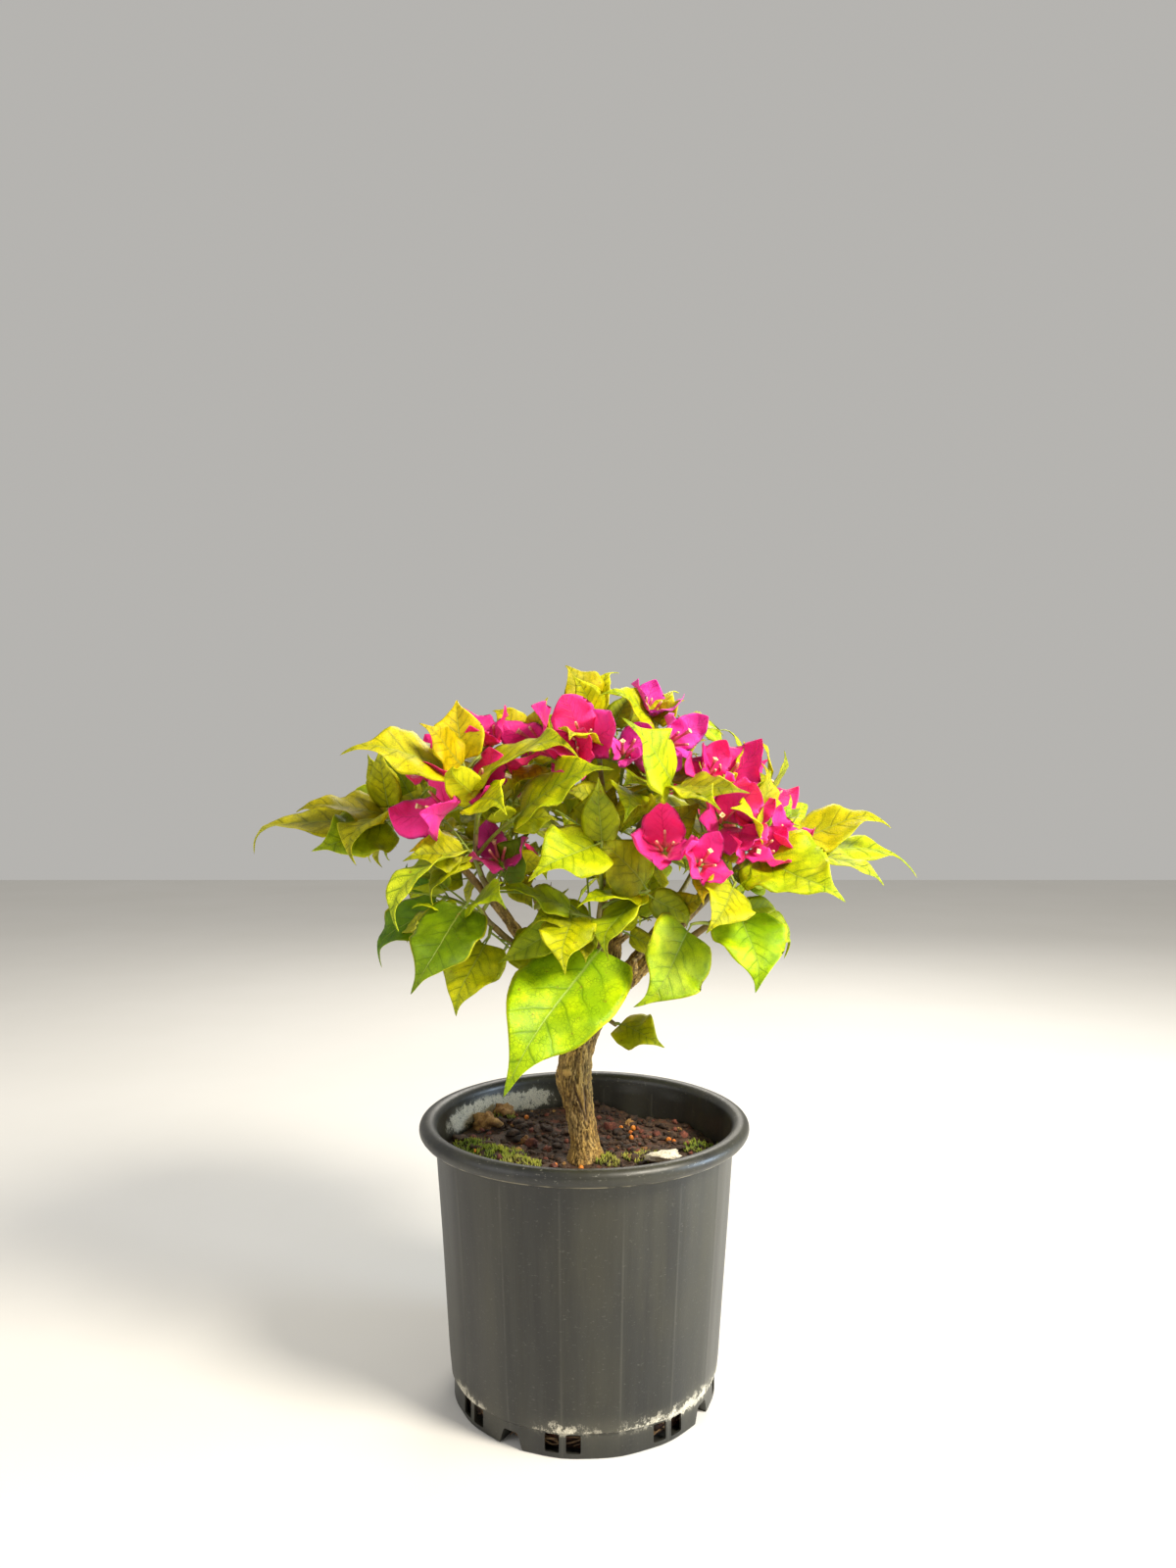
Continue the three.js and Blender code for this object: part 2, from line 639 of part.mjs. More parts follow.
function soilSolid() {
  const { bodyFootRadius, footRadius, footHeight, wall } = POT;
  const top = SOIL_LEVEL;
  const rim = wallAt(top) - wall - GAP;
  const foot = footRadius - wall - GAP - 0.2;
  const profile = [
    [0, wall + GAP], [foot, wall + GAP], [foot, footHeight - 1], [bodyFootRadius - wall - GAP, footHeight + 0.4],
    [rim, top - 2], [rim - 8, top + 1.5], [52, top - 2.5],
    [18, top], [0, top],
  ];
  let soil = lathed(profile, POT.sides);
  for (let i = 0; i < ARCH.count; i++) {
    const angle = POT.seamPhase - 22.5 + (360 / ARCH.count) * i;
    soil = soil.subtract(solidOf(archBlock(angle, ARCH.wall + GAP + 0.1)));
  }
  return largestOf(soil);
}

// ---- The plant ----------------------------------------------------------------------------------
const MATERIALS = {
  pot: new THREE.MeshStandardMaterial({ color: 0x4a4c49, roughness: 0.55, metalness: 0 }),
  soil: new THREE.MeshStandardMaterial({ color: 0x2c1d15, roughness: 0.95, metalness: 0 }),
  bark: new THREE.MeshStandardMaterial({ color: 0x7b6340, roughness: 0.9, metalness: 0 }),
  foliage: new THREE.MeshStandardMaterial({ color: 0xb6c412, roughness: 0.5, metalness: 0 }),
};

function named(name, solid, material) {
  const mesh = new THREE.Mesh(geometryOf(solid), MATERIALS[material]);
  mesh.name = name;
  return mesh;
}

const plant = new THREE.Group();
plant.add(named("pot", potSolid(), "pot"));
plant.add(named("soil", soilSolid(), "soil"));
for (const name of Object.keys(LIMBS)) plant.add(named(name, limbSolid(name), "bark"));
const masses = Object.keys(MASSES).map(startMass);
masses.forEach(fillMass);
for (const mass of masses) plant.add(named(mass.name, massSolid(mass), "foliage"));

export default plant;
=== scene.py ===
from math import atan2, ceil, cos, degrees, exp, floor, hypot, pi, radians, sin, sqrt

import bmesh
import bpy
import numpy as np
from mathutils import Matrix, Vector, noise


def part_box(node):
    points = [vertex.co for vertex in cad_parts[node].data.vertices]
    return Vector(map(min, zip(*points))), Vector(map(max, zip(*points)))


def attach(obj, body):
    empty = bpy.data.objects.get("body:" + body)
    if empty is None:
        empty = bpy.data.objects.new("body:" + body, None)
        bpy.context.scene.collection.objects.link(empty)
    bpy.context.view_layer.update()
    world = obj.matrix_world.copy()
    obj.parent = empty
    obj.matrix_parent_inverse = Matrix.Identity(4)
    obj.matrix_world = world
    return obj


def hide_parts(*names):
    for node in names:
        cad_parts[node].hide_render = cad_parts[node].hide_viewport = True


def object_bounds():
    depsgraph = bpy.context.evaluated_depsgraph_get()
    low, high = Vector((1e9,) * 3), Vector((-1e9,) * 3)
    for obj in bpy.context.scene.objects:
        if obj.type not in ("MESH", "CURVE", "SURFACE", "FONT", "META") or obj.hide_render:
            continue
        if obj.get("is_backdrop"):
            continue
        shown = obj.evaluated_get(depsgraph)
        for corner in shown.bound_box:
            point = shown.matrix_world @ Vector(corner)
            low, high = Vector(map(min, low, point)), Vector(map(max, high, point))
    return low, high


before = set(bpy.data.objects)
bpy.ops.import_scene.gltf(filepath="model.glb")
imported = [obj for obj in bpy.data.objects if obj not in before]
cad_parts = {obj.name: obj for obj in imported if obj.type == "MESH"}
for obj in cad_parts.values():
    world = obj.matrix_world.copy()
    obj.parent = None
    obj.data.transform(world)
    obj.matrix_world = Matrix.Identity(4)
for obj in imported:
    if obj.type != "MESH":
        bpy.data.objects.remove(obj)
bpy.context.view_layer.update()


# ---- The pot ----------------------------------------------------------------------------------------------
# An injection-moulded nursery pot of dark grey polypropylene: a thin tapering wall with sixteen fine mould
# seams, a rolled lip that hangs over it as a skirt, and a narrower foot ring with pairs of drain windows and
# four arches. It is scuffed on the lip, and watering has left chalky lime at the foot and inside.
MM = 0.001
pot_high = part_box("pot")[1]
POT_HEIGHT = pot_high.z / MM
RIM_RADIUS = pot_high.x / MM
BODY_TOP_RADIUS = RIM_RADIUS - 9.5
BODY_FOOT_RADIUS = 81.3
FOOT_RADIUS = 79.5
FOOT_HEIGHT = 15
LIP_HEIGHT = 9
WALL = 1.6
SEAMS = 16
SEAM_PHASE = -8.5
SEAM_PROUD = 0.12
PANEL_FLATNESS = 0.45
POT_STEPS = 384
WINDOW_PAIRS, WINDOW_WIDTH, WINDOW_LOW, WINDOW_HIGH, WINDOWS_APART = 8, 8.2, 3, 13.2, 12
ARCHES, ARCH_TOP, ARCH_FOOT, ARCH_HEIGHT, ARCH_DEPTH = 4, 8.5, 16, 9.5, 15


# A point of a ring, at an angle from the front towards +X.
def on_ring(radius, angle, height):
    return Vector((radius * sin(radians(angle)), -radius * cos(radians(angle)), height)) * MM


def arc(centre_r, centre_z, radius_r, radius_z, start, end, steps):
    turns = [radians(start + (end - start) * i / steps) for i in range(steps + 1)]
    return [(centre_r + radius_r * cos(t), centre_z + radius_z * sin(t)) for t in turns]


def evenly(start, end, steps):
    return [tuple(a + (b - a) * i / steps for a, b in zip(start, end)) for i in range(1, steps + 1)]


# A solid of revolution from a profile of radius and height that starts and ends on the axis.
def turned(profile, steps, phase):
    made = bmesh.new()
    corners = [made.verts.new(on_ring(r, phase, z)) for r, z in profile]
    edges = [made.edges.new(pair) for pair in zip(corners, corners[1:])]
    bmesh.ops.spin(made, geom=corners + edges, axis=(0, 0, 1), cent=(0, 0, 0), angle=2 * pi, steps=steps,
                   use_merge=True)
    bmesh.ops.remove_doubles(made, verts=made.verts, dist=1e-6)
    bmesh.ops.recalc_face_normals(made, faces=made.faces)
    return made


def piece_from(made, name):
    mesh = bpy.data.meshes.new(name)
    made.to_mesh(mesh)
    made.free()
    piece = bpy.data.objects.new(name, mesh)
    bpy.context.scene.collection.objects.link(piece)
    mesh.shade_smooth()
    return piece


# Turns a piece's modifiers into its mesh, and removes the tools that they used.
def settle(piece, *tools):
    shown = piece.evaluated_get(bpy.context.evaluated_depsgraph_get())
    mesh = bpy.data.meshes.new_from_object(shown)
    piece.modifiers.clear()
    piece.data = mesh
    for tool in tools:
        bpy.data.objects.remove(tool)


def cut_or_join(piece, tool, operation):
    modifier = piece.modifiers.new(operation.lower(), "BOOLEAN")
    modifier.operation = operation
    modifier.solver = "EXACT"
    modifier.object = tool
    settle(piece, tool)


# The outer wall's radius at a height, the angle from the nearest mould seam, and a smooth hill of height 1.
def wall_at(height):
    share = (height - FOOT_HEIGHT) / (lip_foot - FOOT_HEIGHT)
    return BODY_FOOT_RADIUS + (BODY_TOP_RADIUS - BODY_FOOT_RADIUS) * share


def off_seam(turn):
    return abs((turn + 180 / SEAMS) % (360 / SEAMS) - 180 / SEAMS)


def hill(at, middle, width):
    return exp(-(((at - middle) / width) ** 2))


lip_foot = POT_HEIGHT - LIP_HEIGHT
body_inside = BODY_TOP_RADIUS - WALL
outer_body = evenly((BODY_FOOT_RADIUS, FOOT_HEIGHT + 0.6), (BODY_TOP_RADIUS, lip_foot), 14)
inner_top = (RIM_RADIUS - 10.9, lip_foot + 2.6)
inner_low = (body_inside - 1.4, lip_foot - 24)
inner_body = evenly(inner_top, inner_low, 12)
inner_body += evenly(inner_low, (BODY_FOOT_RADIUS - WALL, FOOT_HEIGHT + 0.6), 8)
pot_profile = (
    [(0, 0), (40, 0), (FOOT_RADIUS - 1.2, 0)]
    + arc(FOOT_RADIUS - 1, 1, 1, 1, -70, 0, 3)
    + evenly((FOOT_RADIUS, 1), (FOOT_RADIUS, FOOT_HEIGHT - 1.2), 3)
    + [(FOOT_RADIUS + 0.6, FOOT_HEIGHT - 0.5), (BODY_FOOT_RADIUS - 0.3, FOOT_HEIGHT + 0.1)]
    + outer_body
    + [(BODY_TOP_RADIUS + 1, lip_foot + 4.2), (RIM_RADIUS - 5, lip_foot + 3.4)]
    + [(RIM_RADIUS - 3.9, lip_foot + 0.6), (RIM_RADIUS - 3.6, lip_foot - 0.4)]
    + [(RIM_RADIUS - 2.9, lip_foot - 0.6), (RIM_RADIUS - 2.3, lip_foot - 0.2)]
    + arc(RIM_RADIUS - 4.7, lip_foot + 4.3, 4.7, 4.7, -52, 90, 9)
    + arc(RIM_RADIUS - 5.6, lip_foot + 3.7, 5.1, 5.2, 98, 178, 7)
    + inner_body
    + [(FOOT_RADIUS - WALL, FOOT_HEIGHT - 1), (FOOT_RADIUS - WALL, WALL + 1), (FOOT_RADIUS - WALL - 1, WALL)]
    + [(40, WALL), (0, WALL)]
)
pot_shape = turned(pot_profile, POT_STEPS, SEAM_PHASE)
for corner in pot_shape.verts:
    radius, height = hypot(corner.co.x, corner.co.y) / MM, corner.co.z / MM
    around = Vector((corner.co.x, corner.co.y, 0)).normalized() if radius > 1 else Vector()
    from_seam = off_seam(degrees(atan2(corner.co.x, -corner.co.y)) - SEAM_PHASE)
    waver = 0.35 * noise.noise(around * 1.3 + Vector((3, 1, height / 70))) if radius > BODY_FOOT_RADIUS else 0
    on_wall = radius > BODY_FOOT_RADIUS - 3 and height < lip_foot - 1
    flatness = PANEL_FLATNESS * (cos(2 * pi * from_seam * SEAMS / 360) - 1) / 2 if on_wall else 0
    outside = FOOT_HEIGHT + 0.5 < height < lip_foot + 0.1 and abs(radius - wall_at(height)) < 0.3
    proud = SEAM_PROUD if outside and from_seam < 0.1 else 0
    corner.co += around * (waver + flatness + proud) * MM
pot = piece_from(pot_shape, "nursery_pot")


# An arch's block from a distance outside the foot ring to its depth inside it, larger all round by grow.
def arch_block(angle, outer, inner, grow, floor_level):
    made = bmesh.new()
    half_foot, half_top, top = ARCH_FOOT / 2 + grow, ARCH_TOP / 2 + grow, ARCH_HEIGHT + grow
    right = [(half_foot, floor_level), (half_top + 0.6, top - 1), (half_top - 0.6, top)]
    outline = [(-half_foot, floor_level)] + right + [(-x, z) for x, z in right[:0:-1]]
    face = made.faces.new([made.verts.new(Vector((x, -outer, z)) * MM) for x, z in outline])
    pushed = bmesh.ops.extrude_face_region(made, geom=[face])["geom"]
    moved = [part for part in pushed if isinstance(part, bmesh.types.BMVert)]
    bmesh.ops.translate(made, verts=moved, vec=Vector((0, outer - inner, 0)) * MM)
    bmesh.ops.recalc_face_normals(made, faces=made.faces)
    bmesh.ops.rotate(made, verts=made.verts, cent=(0, 0, 0), matrix=Matrix.Rotation(radians(angle), 3, "Z"))
    return made


def window_block(angle):
    made = bmesh.new()
    bmesh.ops.create_cube(made, size=1)
    bmesh.ops.scale(made, verts=made.verts, vec=(WINDOW_WIDTH * MM, 6 * MM, (WINDOW_HIGH - WINDOW_LOW) * MM))
    radial = [edge for edge in made.edges if abs((edge.verts[0].co - edge.verts[1].co).normalized().y) > 0.9]
    bmesh.ops.bevel(made, geom=radial, offset=0.8 * MM, affect="EDGES", segments=2, profile=0.5, material=-1)
    middle = Vector((0, -FOOT_RADIUS + 0.8, (WINDOW_LOW + WINDOW_HIGH) / 2)) * MM
    bmesh.ops.translate(made, verts=made.verts, vec=middle)
    bmesh.ops.rotate(made, verts=made.verts, cent=(0, 0, 0), matrix=Matrix.Rotation(radians(angle), 3, "Z"))
    return made


# Several meshes as one, for a tool that cuts in one go.
def together(shapes):
    whole = bmesh.new()
    for shape in shapes:
        carrier = bpy.data.meshes.new("carrier")
        shape.to_mesh(carrier)
        shape.free()
        whole.from_mesh(carrier)
        bpy.data.meshes.remove(carrier)
    return whole


arch_angles = [SEAM_PHASE - 22.5 + 360 / ARCHES * i for i in range(ARCHES)]
apart = degrees(WINDOWS_APART / 2 / FOOT_RADIUS)
pair_angles = [SEAM_PHASE + 360 / WINDOW_PAIRS * i for i in range(WINDOW_PAIRS)]
inner_end = FOOT_RADIUS - ARCH_DEPTH
hoods = [arch_block(angle, FOOT_RADIUS - 0.9, inner_end - WALL, WALL, 0.5) for angle in arch_angles]
cut_or_join(pot, piece_from(together(hoods), "hoods"), "UNION")
holes = [arch_block(angle, FOOT_RADIUS + 6, inner_end, 0, -1) for angle in arch_angles]
holes += [window_block(angle + side) for angle in pair_angles for side in (-apart, apart)]
cut_or_join(pot, piece_from(together(holes), "holes"), "DIFFERENCE")
pot.data.shade_smooth()
pot.data.set_sharp_from_angle(angle=radians(38))


# Where lime has dried, from 0 to 1: round the step above the foot, and inside at the left and the back.
def lime_at(x, y, z):
    radius, height, angle = hypot(x, y) / MM, z / MM, degrees(atan2(x, -y))
    way = Vector((sin(radians(angle)), cos(radians(angle)), 0))
    uneven = 0.5 + 0.8 * noise.noise(way * 2.6 + Vector((7, 2, 1)))
    if radius < wall_at(height) - 0.8 and height > 60:
        left_and_back = 1.3 * hill(angle, -124, 26) + 0.8 * hill(angle, -158, 12)
        return min(1, left_and_back * hill(height, 150, 8) * (0.8 + 0.5 * uneven))
    if radius < FOOT_RADIUS - 2:
        return 0
    strong = (0.1 + 0.75 * hill(angle, 52, 26) + 0.45 * hill(angle, -62, 15) + 0.35 * hill(angle, -11, 9)
              + 0.45 * hill(abs(angle), 150, 20) + 0.3 * uneven)
    above_step = height - FOOT_HEIGHT
    crust = hill(above_step, 1.5, 3.2) if above_step > 0 else exp(above_step / 2)
    haze = 0.34 * exp(-abs(above_step) / 17)
    return min(1, max(0, crust * strong + haze * (0.6 + 0.5 * uneven)))


def point_attribute(mesh, name, values):
    mesh.attributes.new(name, "FLOAT", "POINT").data.foreach_set("value", np.array(values, np.float32))


point_attribute(pot.data, "lime", [lime_at(*corner.co) for corner in pot.data.vertices])
turns = [(degrees(atan2(corner.co.x, -corner.co.y)) - SEAM_PHASE) % 360 for corner in pot.data.vertices]
panels = [floor(turn * SEAMS / 360 + 0.02) for turn in turns]
on_body = [corner.co.z / MM < lip_foot - 0.5 for corner in pot.data.vertices]
point_attribute(pot.data, "seam", [max(0, 1 - off_seam(turn)) * body for turn, body in zip(turns, on_body)])
# Each panel between two seams gets a shade of its own: painted shading, as though the panels faced the light
# a little differently.
panel_shading = [0.5 + 0.5 * noise.noise(Vector((panel * 3.7, 0.5, 0.5))) for panel in panels]
point_attribute(pot.data, "panel", panel_shading)


# A node in a tree, with its settings, and with its inputs given as values or as the sockets that feed them.
def node(tree, kind, inputs=None, **settings):
    made = tree.nodes.new("ShaderNode" + kind)
    for key, value in settings.items():
        setattr(made, key, value)
    for key, value in (inputs or {}).items():
        if isinstance(value, bpy.types.NodeSocket):
            tree.links.new(value, made.inputs[key])
        else:
            made.inputs[key].default_value = value
    return made


def colour(red, green, blue):
    parts = [channel / 255 for channel in (red, green, blue)]
    return tuple(c / 12.92 if c < 0.04045 else ((c + 0.055) / 1.055) ** 2.4 for c in parts) + (1,)


def mixed(tree, share, first, second):
    return node(tree, "Mix", {0: share, 6: first, 7: second}, data_type="RGBA").outputs[2]


def maths(tree, operation, *values, clamp=False):
    return node(tree, "Math", dict(enumerate(values)), operation=operation, use_clamp=clamp).outputs[0]


def times(tree, value, factor):
    return maths(tree, "MULTIPLY", value, factor)


# A value times a factor, and a value or another socket added to it.
def times_plus(tree, value, factor, added):
    return maths(tree, "MULTIPLY_ADD", value, factor, added)


# A base colour with a tint laid over it where a mask shows, at a strength.
def laid(tree, base, mask, strength, tint):
    return mixed(tree, maths(tree, "MULTIPLY", mask, strength, clamp=True), base, colour(*tint))


def ranged(tree, value, low, high, to_low=0.0, to_high=1.0):
    inputs = {0: value, 1: low, 2: high, 3: to_low, 4: to_high}
    return node(tree, "MapRange", inputs, interpolation_type="SMOOTHSTEP").outputs[0]


def object_place(tree):
    return node(tree, "TexCoord").outputs["Object"]


# A material with its Principled shader joined up, and the sockets that hold all over the piece set on it.
def finish_of(name, surface, **plain):
    made = bpy.data.materials.new(name)
    made.use_nodes = True
    tree = made.node_tree
    tree.nodes.clear()
    shader = node(tree, "BsdfPrincipled", plain)
    node(tree, "OutputMaterial", {"Surface": shader.outputs[0]})
    base, roughness, height, distance = surface(tree)
    tree.links.new(base, shader.inputs["Base Color"])
    tree.links.new(roughness, shader.inputs["Roughness"])
    bump = node(tree, "Bump", {"Height": height, "Distance": distance, "Strength": 1.0})
    tree.links.new(bump.outputs[0], shader.inputs["Normal"])
    return made


# A group of nodes with its sockets, and the values that it gives out.
def group_of(name, vectors, values, given_out):
    group = bpy.data.node_groups.new(name, "ShaderNodeTree")
    for kind, labels in (("Vector", vectors), ("Float", values)):
        for label in labels:
            group.interface.new_socket(label, in_out="INPUT", socket_type="NodeSocket" + kind)
    for label in given_out:
        group.interface.new_socket(label, in_out="OUTPUT", socket_type="NodeSocketFloat")
    return group, group.nodes.new("NodeGroupInput").outputs


def give_out(group, values):
    result = group.nodes.new("NodeGroupOutput")
    for label, value in values.items():
        group.links.new(value, result.inputs[label])


# The patches of wear, damp, growth and painted sheen: a mask over part of a surface, from noise at a given
# size.
patches, given = group_of("patches", ("Place", "Stretch"), ("Size", "Cover", "Softness", "Roughness"),
                          ("Mask", "Grain"))
drawn_out = {0: given["Place"], 1: given["Stretch"]}
stretched = node(patches, "VectorMath", drawn_out, operation="MULTIPLY").outputs[0]
grain = node(patches, "TexNoise", {"Vector": stretched, "Scale": given["Size"], "Detail": 5.0,
                                   "Roughness": given["Roughness"]}).outputs[0]
edge = maths(patches, "SUBTRACT", 0.72, times(patches, given["Cover"], 0.44))
mask = ranged(patches, grain, maths(patches, "SUBTRACT", edge, given["Softness"]),
              maths(patches, "ADD", edge, given["Softness"]))
give_out(patches, {"Mask": mask, "Grain": grain})


def patch(tree, place, size, cover=0.5, softness=0.1, stretch=(1, 1, 1), roughness=0.6):
    inputs = {"Place": place, "Stretch": stretch, "Size": size, "Cover": cover, "Softness": softness,
              "Roughness": roughness}
    return node(tree, "Group", inputs, node_tree=patches).outputs


def attribute(tree, name):
    return node(tree, "Attribute", attribute_name=name).outputs["Fac"]


def pot_surface(tree):
    place = object_place(tree)
    height = node(tree, "SeparateXYZ", {0: place}).outputs["Z"]
    streaks = patch(tree, place, 60, 0.5, 0.16, stretch=(1, 1, 0.045))
    fine_streaks = patch(tree, place, 190, 0.45, 0.12, stretch=(1, 1, 0.03))
    clouds = patch(tree, place, 11, 0.5, 0.2)
    # Broad lighter upright bands are painted sheen, where panels of the wall catch the light.
    sheen_bands = patch(tree, place, 26, 0.5, 0.12, stretch=(1, 1, 0.1))
    # The panel shades are painted shading of the wall's faint facets.
    base = mixed(tree, attribute(tree, "panel"), colour(17, 17, 15), colour(32, 31, 26))
    base = laid(tree, base, sheen_bands["Mask"], 0.8, (54, 52, 38))
    base = laid(tree, base, streaks["Mask"], 0.3, (48, 47, 39))
    base = laid(tree, base, fine_streaks["Mask"], 0.14, (72, 71, 62))
    base = laid(tree, base, clouds["Mask"], 0.4, (26, 30, 34))
    # A lighter line down each mould seam is painted highlight of its low ridge, broken up in patches.
    seam_highlight_patches = patch(tree, place, 40, 0.6, 0.2, stretch=(1, 1, 0.3))
    seam = ranged(tree, attribute(tree, "seam"), 0.3, 1.0, 0.0, 0.2)
    base = laid(tree, base, seam, seam_highlight_patches["Mask"], (112, 110, 99))
    scuffs = patch(tree, place, 420, 0.16, 0.03, stretch=(1, 1, 2.5))
    on_lip = ranged(tree, height, (lip_foot + 1) * MM, (lip_foot + 4) * MM)
    base = laid(tree, base, scuffs["Mask"], ranged(tree, on_lip, 0.0, 1.0, 0.18, 0.5), (128, 126, 116))

    flat = node(tree, "VectorMath", {0: place, 1: (1, 1, 0)}, operation="MULTIPLY").outputs[0]
    radius = node(tree, "VectorMath", {0: flat}, operation="LENGTH").outputs["Value"]
    at_edge = times(tree, ranged(tree, radius, (RIM_RADIUS - 4.2) * MM, (RIM_RADIUS - 3.4) * MM),
                    ranged(tree, height, (lip_foot + 0.1) * MM, (lip_foot + 0.5) * MM, 1.0, 0.0))
    worn = patch(tree, place, 95, 0.52, 0.1)
    base = laid(tree, base, times(tree, at_edge, worn["Mask"]), 0.75, (146, 138, 114))

    lime = attribute(tree, "lime")
    crust = patch(tree, place, 170, times(tree, lime, 0.72), 0.05, stretch=(1, 1, 0.8), roughness=0.8)
    film = patch(tree, place, 38, lime, 0.3)
    base = laid(tree, base, times(tree, film["Mask"], lime), 0.5, (122, 118, 100))
    speckle = patch(tree, place, 1400, 0.62, 0.08, roughness=0.7)
    crusted = times(tree, crust["Mask"], ranged(tree, lime, 0.3, 0.85))
    crusted = times(tree, crusted, times_plus(tree, speckle["Mask"], 0.6, 0.4))
    base = mixed(tree, crusted, base, colour(218, 211, 190))

    roughness = times_plus(tree, streaks["Grain"], 0.25, 0.26)
    roughness = maths(tree, "MULTIPLY_ADD", crusted, 0.45, roughness, clamp=True)
    skin = patch(tree, place, 900)
    relief = times_plus(tree, skin["Grain"], 0.25, times(tree, crusted, 0.8))
    relief = times_plus(tree, streaks["Grain"], 0.35, relief)
    return base, roughness, relief, 0.25 * MM


pot_plastic = finish_of("pot_plastic", pot_surface, IOR=1.5)
pot.data.materials.clear()
pot.data.materials.append(pot_plastic)
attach(pot, "root")
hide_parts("pot")


# ---- The potting mix --------------------------------------------------------------------------------------
# Dark, damp bark and peat with crumbs of red scoria, fired clay and slow-release pellets, filled by hand to
# an inch under the rim and settled by watering. Moss has grown on it, and one pale flake lies on it.
SOIL_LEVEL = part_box("soil")[1].z / MM - 1.5
HEAPS = [(-54, 58, 30, 8), (0, 86, 26, 8), (-76, 14, 24, 4), (60, 56, 26, 4)]
SOIL_RADIUS = wall_at(SOIL_LEVEL) - WALL - 0.3
MOSSY = [(-70, 8, 13), (-54, -2, 18), (-39, -11, 13), (-54, 60, 8), (13, -7, 8.5), (36, 4, 13), (73, 16, 11),
         (-20, -52, 22), (44, -48, 16), (-66, -26, 12)]


def soil_height(x, y):
    radius = hypot(x, y)
    place = Vector((x, y, 0))
    rolling = 2.2 * noise.noise(place / 24) + 1.6 * noise.noise(place / 9 + Vector((5, 0, 0)))
    crumbs = 1.1 * noise.noise(place / 3.4 + Vector((0, 9, 0)))
    slope = -1.4 * hill(radius, 48, 22) + 1.2 * hill(radius, 0, 16)
    heaped = sum(tall * hill(hypot(x - hx, y - hy), 0, wide) for hx, hy, wide, tall in HEAPS)
    moss = sum(0.3 * size * hill(hypot(x - mx, y - my), 0, 0.62 * size) for mx, my, size in MOSSY)
    return SOIL_LEVEL + rolling + crumbs + slope + heaped + min(moss, 4.5)


soil_profile = (
    [(0, 2.2), (40, 2.2), (FOOT_RADIUS - WALL - 5.5, 2.2), (FOOT_RADIUS - WALL - 4.5, FOOT_HEIGHT - 2)]
    + evenly((BODY_FOOT_RADIUS - WALL - 0.4, FOOT_HEIGHT + 0.6), (SOIL_RADIUS, SOIL_LEVEL - 3), 6)
    + [(SOIL_RADIUS * (1 - i / 60), SOIL_LEVEL) for i in range(61)]
)
soil_shape = turned(soil_profile, 180, 0)
for corner in soil_shape.verts:
    x, y, z = corner.co / MM
    if z > SOIL_LEVEL - 0.1:
        corner.co.z = soil_height(x, y) * MM
soil = piece_from(soil_shape, "potting_mix")
room = together(arch_block(a, FOOT_RADIUS + 6, inner_end - WALL - 0.3, WALL + 0.4, -1) for a in arch_angles)
cut_or_join(soil, piece_from(room, "room"), "DIFFERENCE")
soil.data.shade_smooth()


def soil_surface(tree):
    place = object_place(tree)
    damp = patch(tree, place, 45, 0.5, 0.15)
    grit = patch(tree, place, 420, 0.45, 0.1, roughness=0.75)
    rust = patch(tree, place, 150, 0.28, 0.06)
    base = mixed(tree, damp["Mask"], colour(38, 26, 20), colour(66, 44, 30))
    base = laid(tree, base, grit["Mask"], 0.6, (92, 66, 44))
    base = laid(tree, base, rust["Mask"], 0.7, (112, 58, 36))
    roughness = ranged(tree, damp["Grain"], 0.3, 0.7, 0.95, 0.6)
    return base, roughness, grit["Grain"], 1.4 * MM


soil.data.materials.clear()
soil.data.materials.append(finish_of("potting_mix", soil_surface))
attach(soil, "root")
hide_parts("soil")


# Many small shapes joined into one mesh: their corners, faces, plan places and the values that they carry.
class Pile:
    def __init__(self):
        self.corners, self.faces, self.plan, self.values, self.count = [], [], [], {}, 0

    def add(self, corners, faces, plan=None, **values):
        corners = np.asarray(corners, float)
        self.corners.append(corners)
        self.faces.extend([tuple(i + self.count for i in face) for face in faces])
        self.plan.append(np.zeros((len(corners), 2)) if plan is None else plan)
        for name, value in values.items():
            self.values.setdefault(name, []).append(np.broadcast_to(value, len(corners)))
        self.count += len(corners)

    def piece(self, name, material, slot, replaces=()):
        mesh = bpy.data.meshes.new(name)
        mesh.from_pydata(np.concatenate(self.corners) * MM, [], self.faces)
        corner_of = np.zeros(len(mesh.loops), np.int32)
        mesh.loops.foreach_get("vertex_index", corner_of)
        plan = np.concatenate(self.plan)[corner_of]
        mesh.uv_layers.new(name="plan").data.foreach_set("uv", plan.astype(np.float32).ravel())
        for value_name, values in self.values.items():
            point_attribute(mesh, value_name, np.concatenate(values))
        mesh.materials.append(material)
        mesh.shade_smooth()
        piece = bpy.data.objects.new(name, mesh)
        bpy.context.scene.collection.objects.link(piece)
        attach(piece, "root")
        if replaces:
            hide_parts(*replaces)
        return piece


# Random numbers from a seed, by the rule that the plant grows by.
def random_from(seed):
    state = [(seed * 7919 + 104729) % 2**32]

    def draw():
        state[0] = (state[0] * 1664525 + 1013904223) % 2**32
        return state[0] / 2**32

    draw()
    draw()
    return draw


def between_from(seed):
    draw = random_from(seed)
    return lambda low, high: low + (high - low) * draw()


# A rough lump: a ball of few faces, pushed in and out.
def lump(detail, size, squash, rough, seed):
    ball = bmesh.new()
    bmesh.ops.create_icosphere(ball, subdivisions=detail, radius=1)
    corners = np.array([corner.co for corner in ball.verts])
    faces = [tuple(corner.index for corner in face.verts) for face in ball.faces]
    ball.free()
    shift = Vector((seed * 3.7, seed, 0))
    push = np.array([1 + rough * noise.noise(Vector(corner) * 1.7 + shift) for corner in corners])
    return corners * push[:, None] * np.array([size, size * 0.85, size * squash]), faces


def turned_about(corners, turn, tip=0.0):
    tilt = np.array(Matrix.Rotation(turn, 3, "Z") @ Matrix.Rotation(tip, 3, "X"))
    return corners @ tilt.T


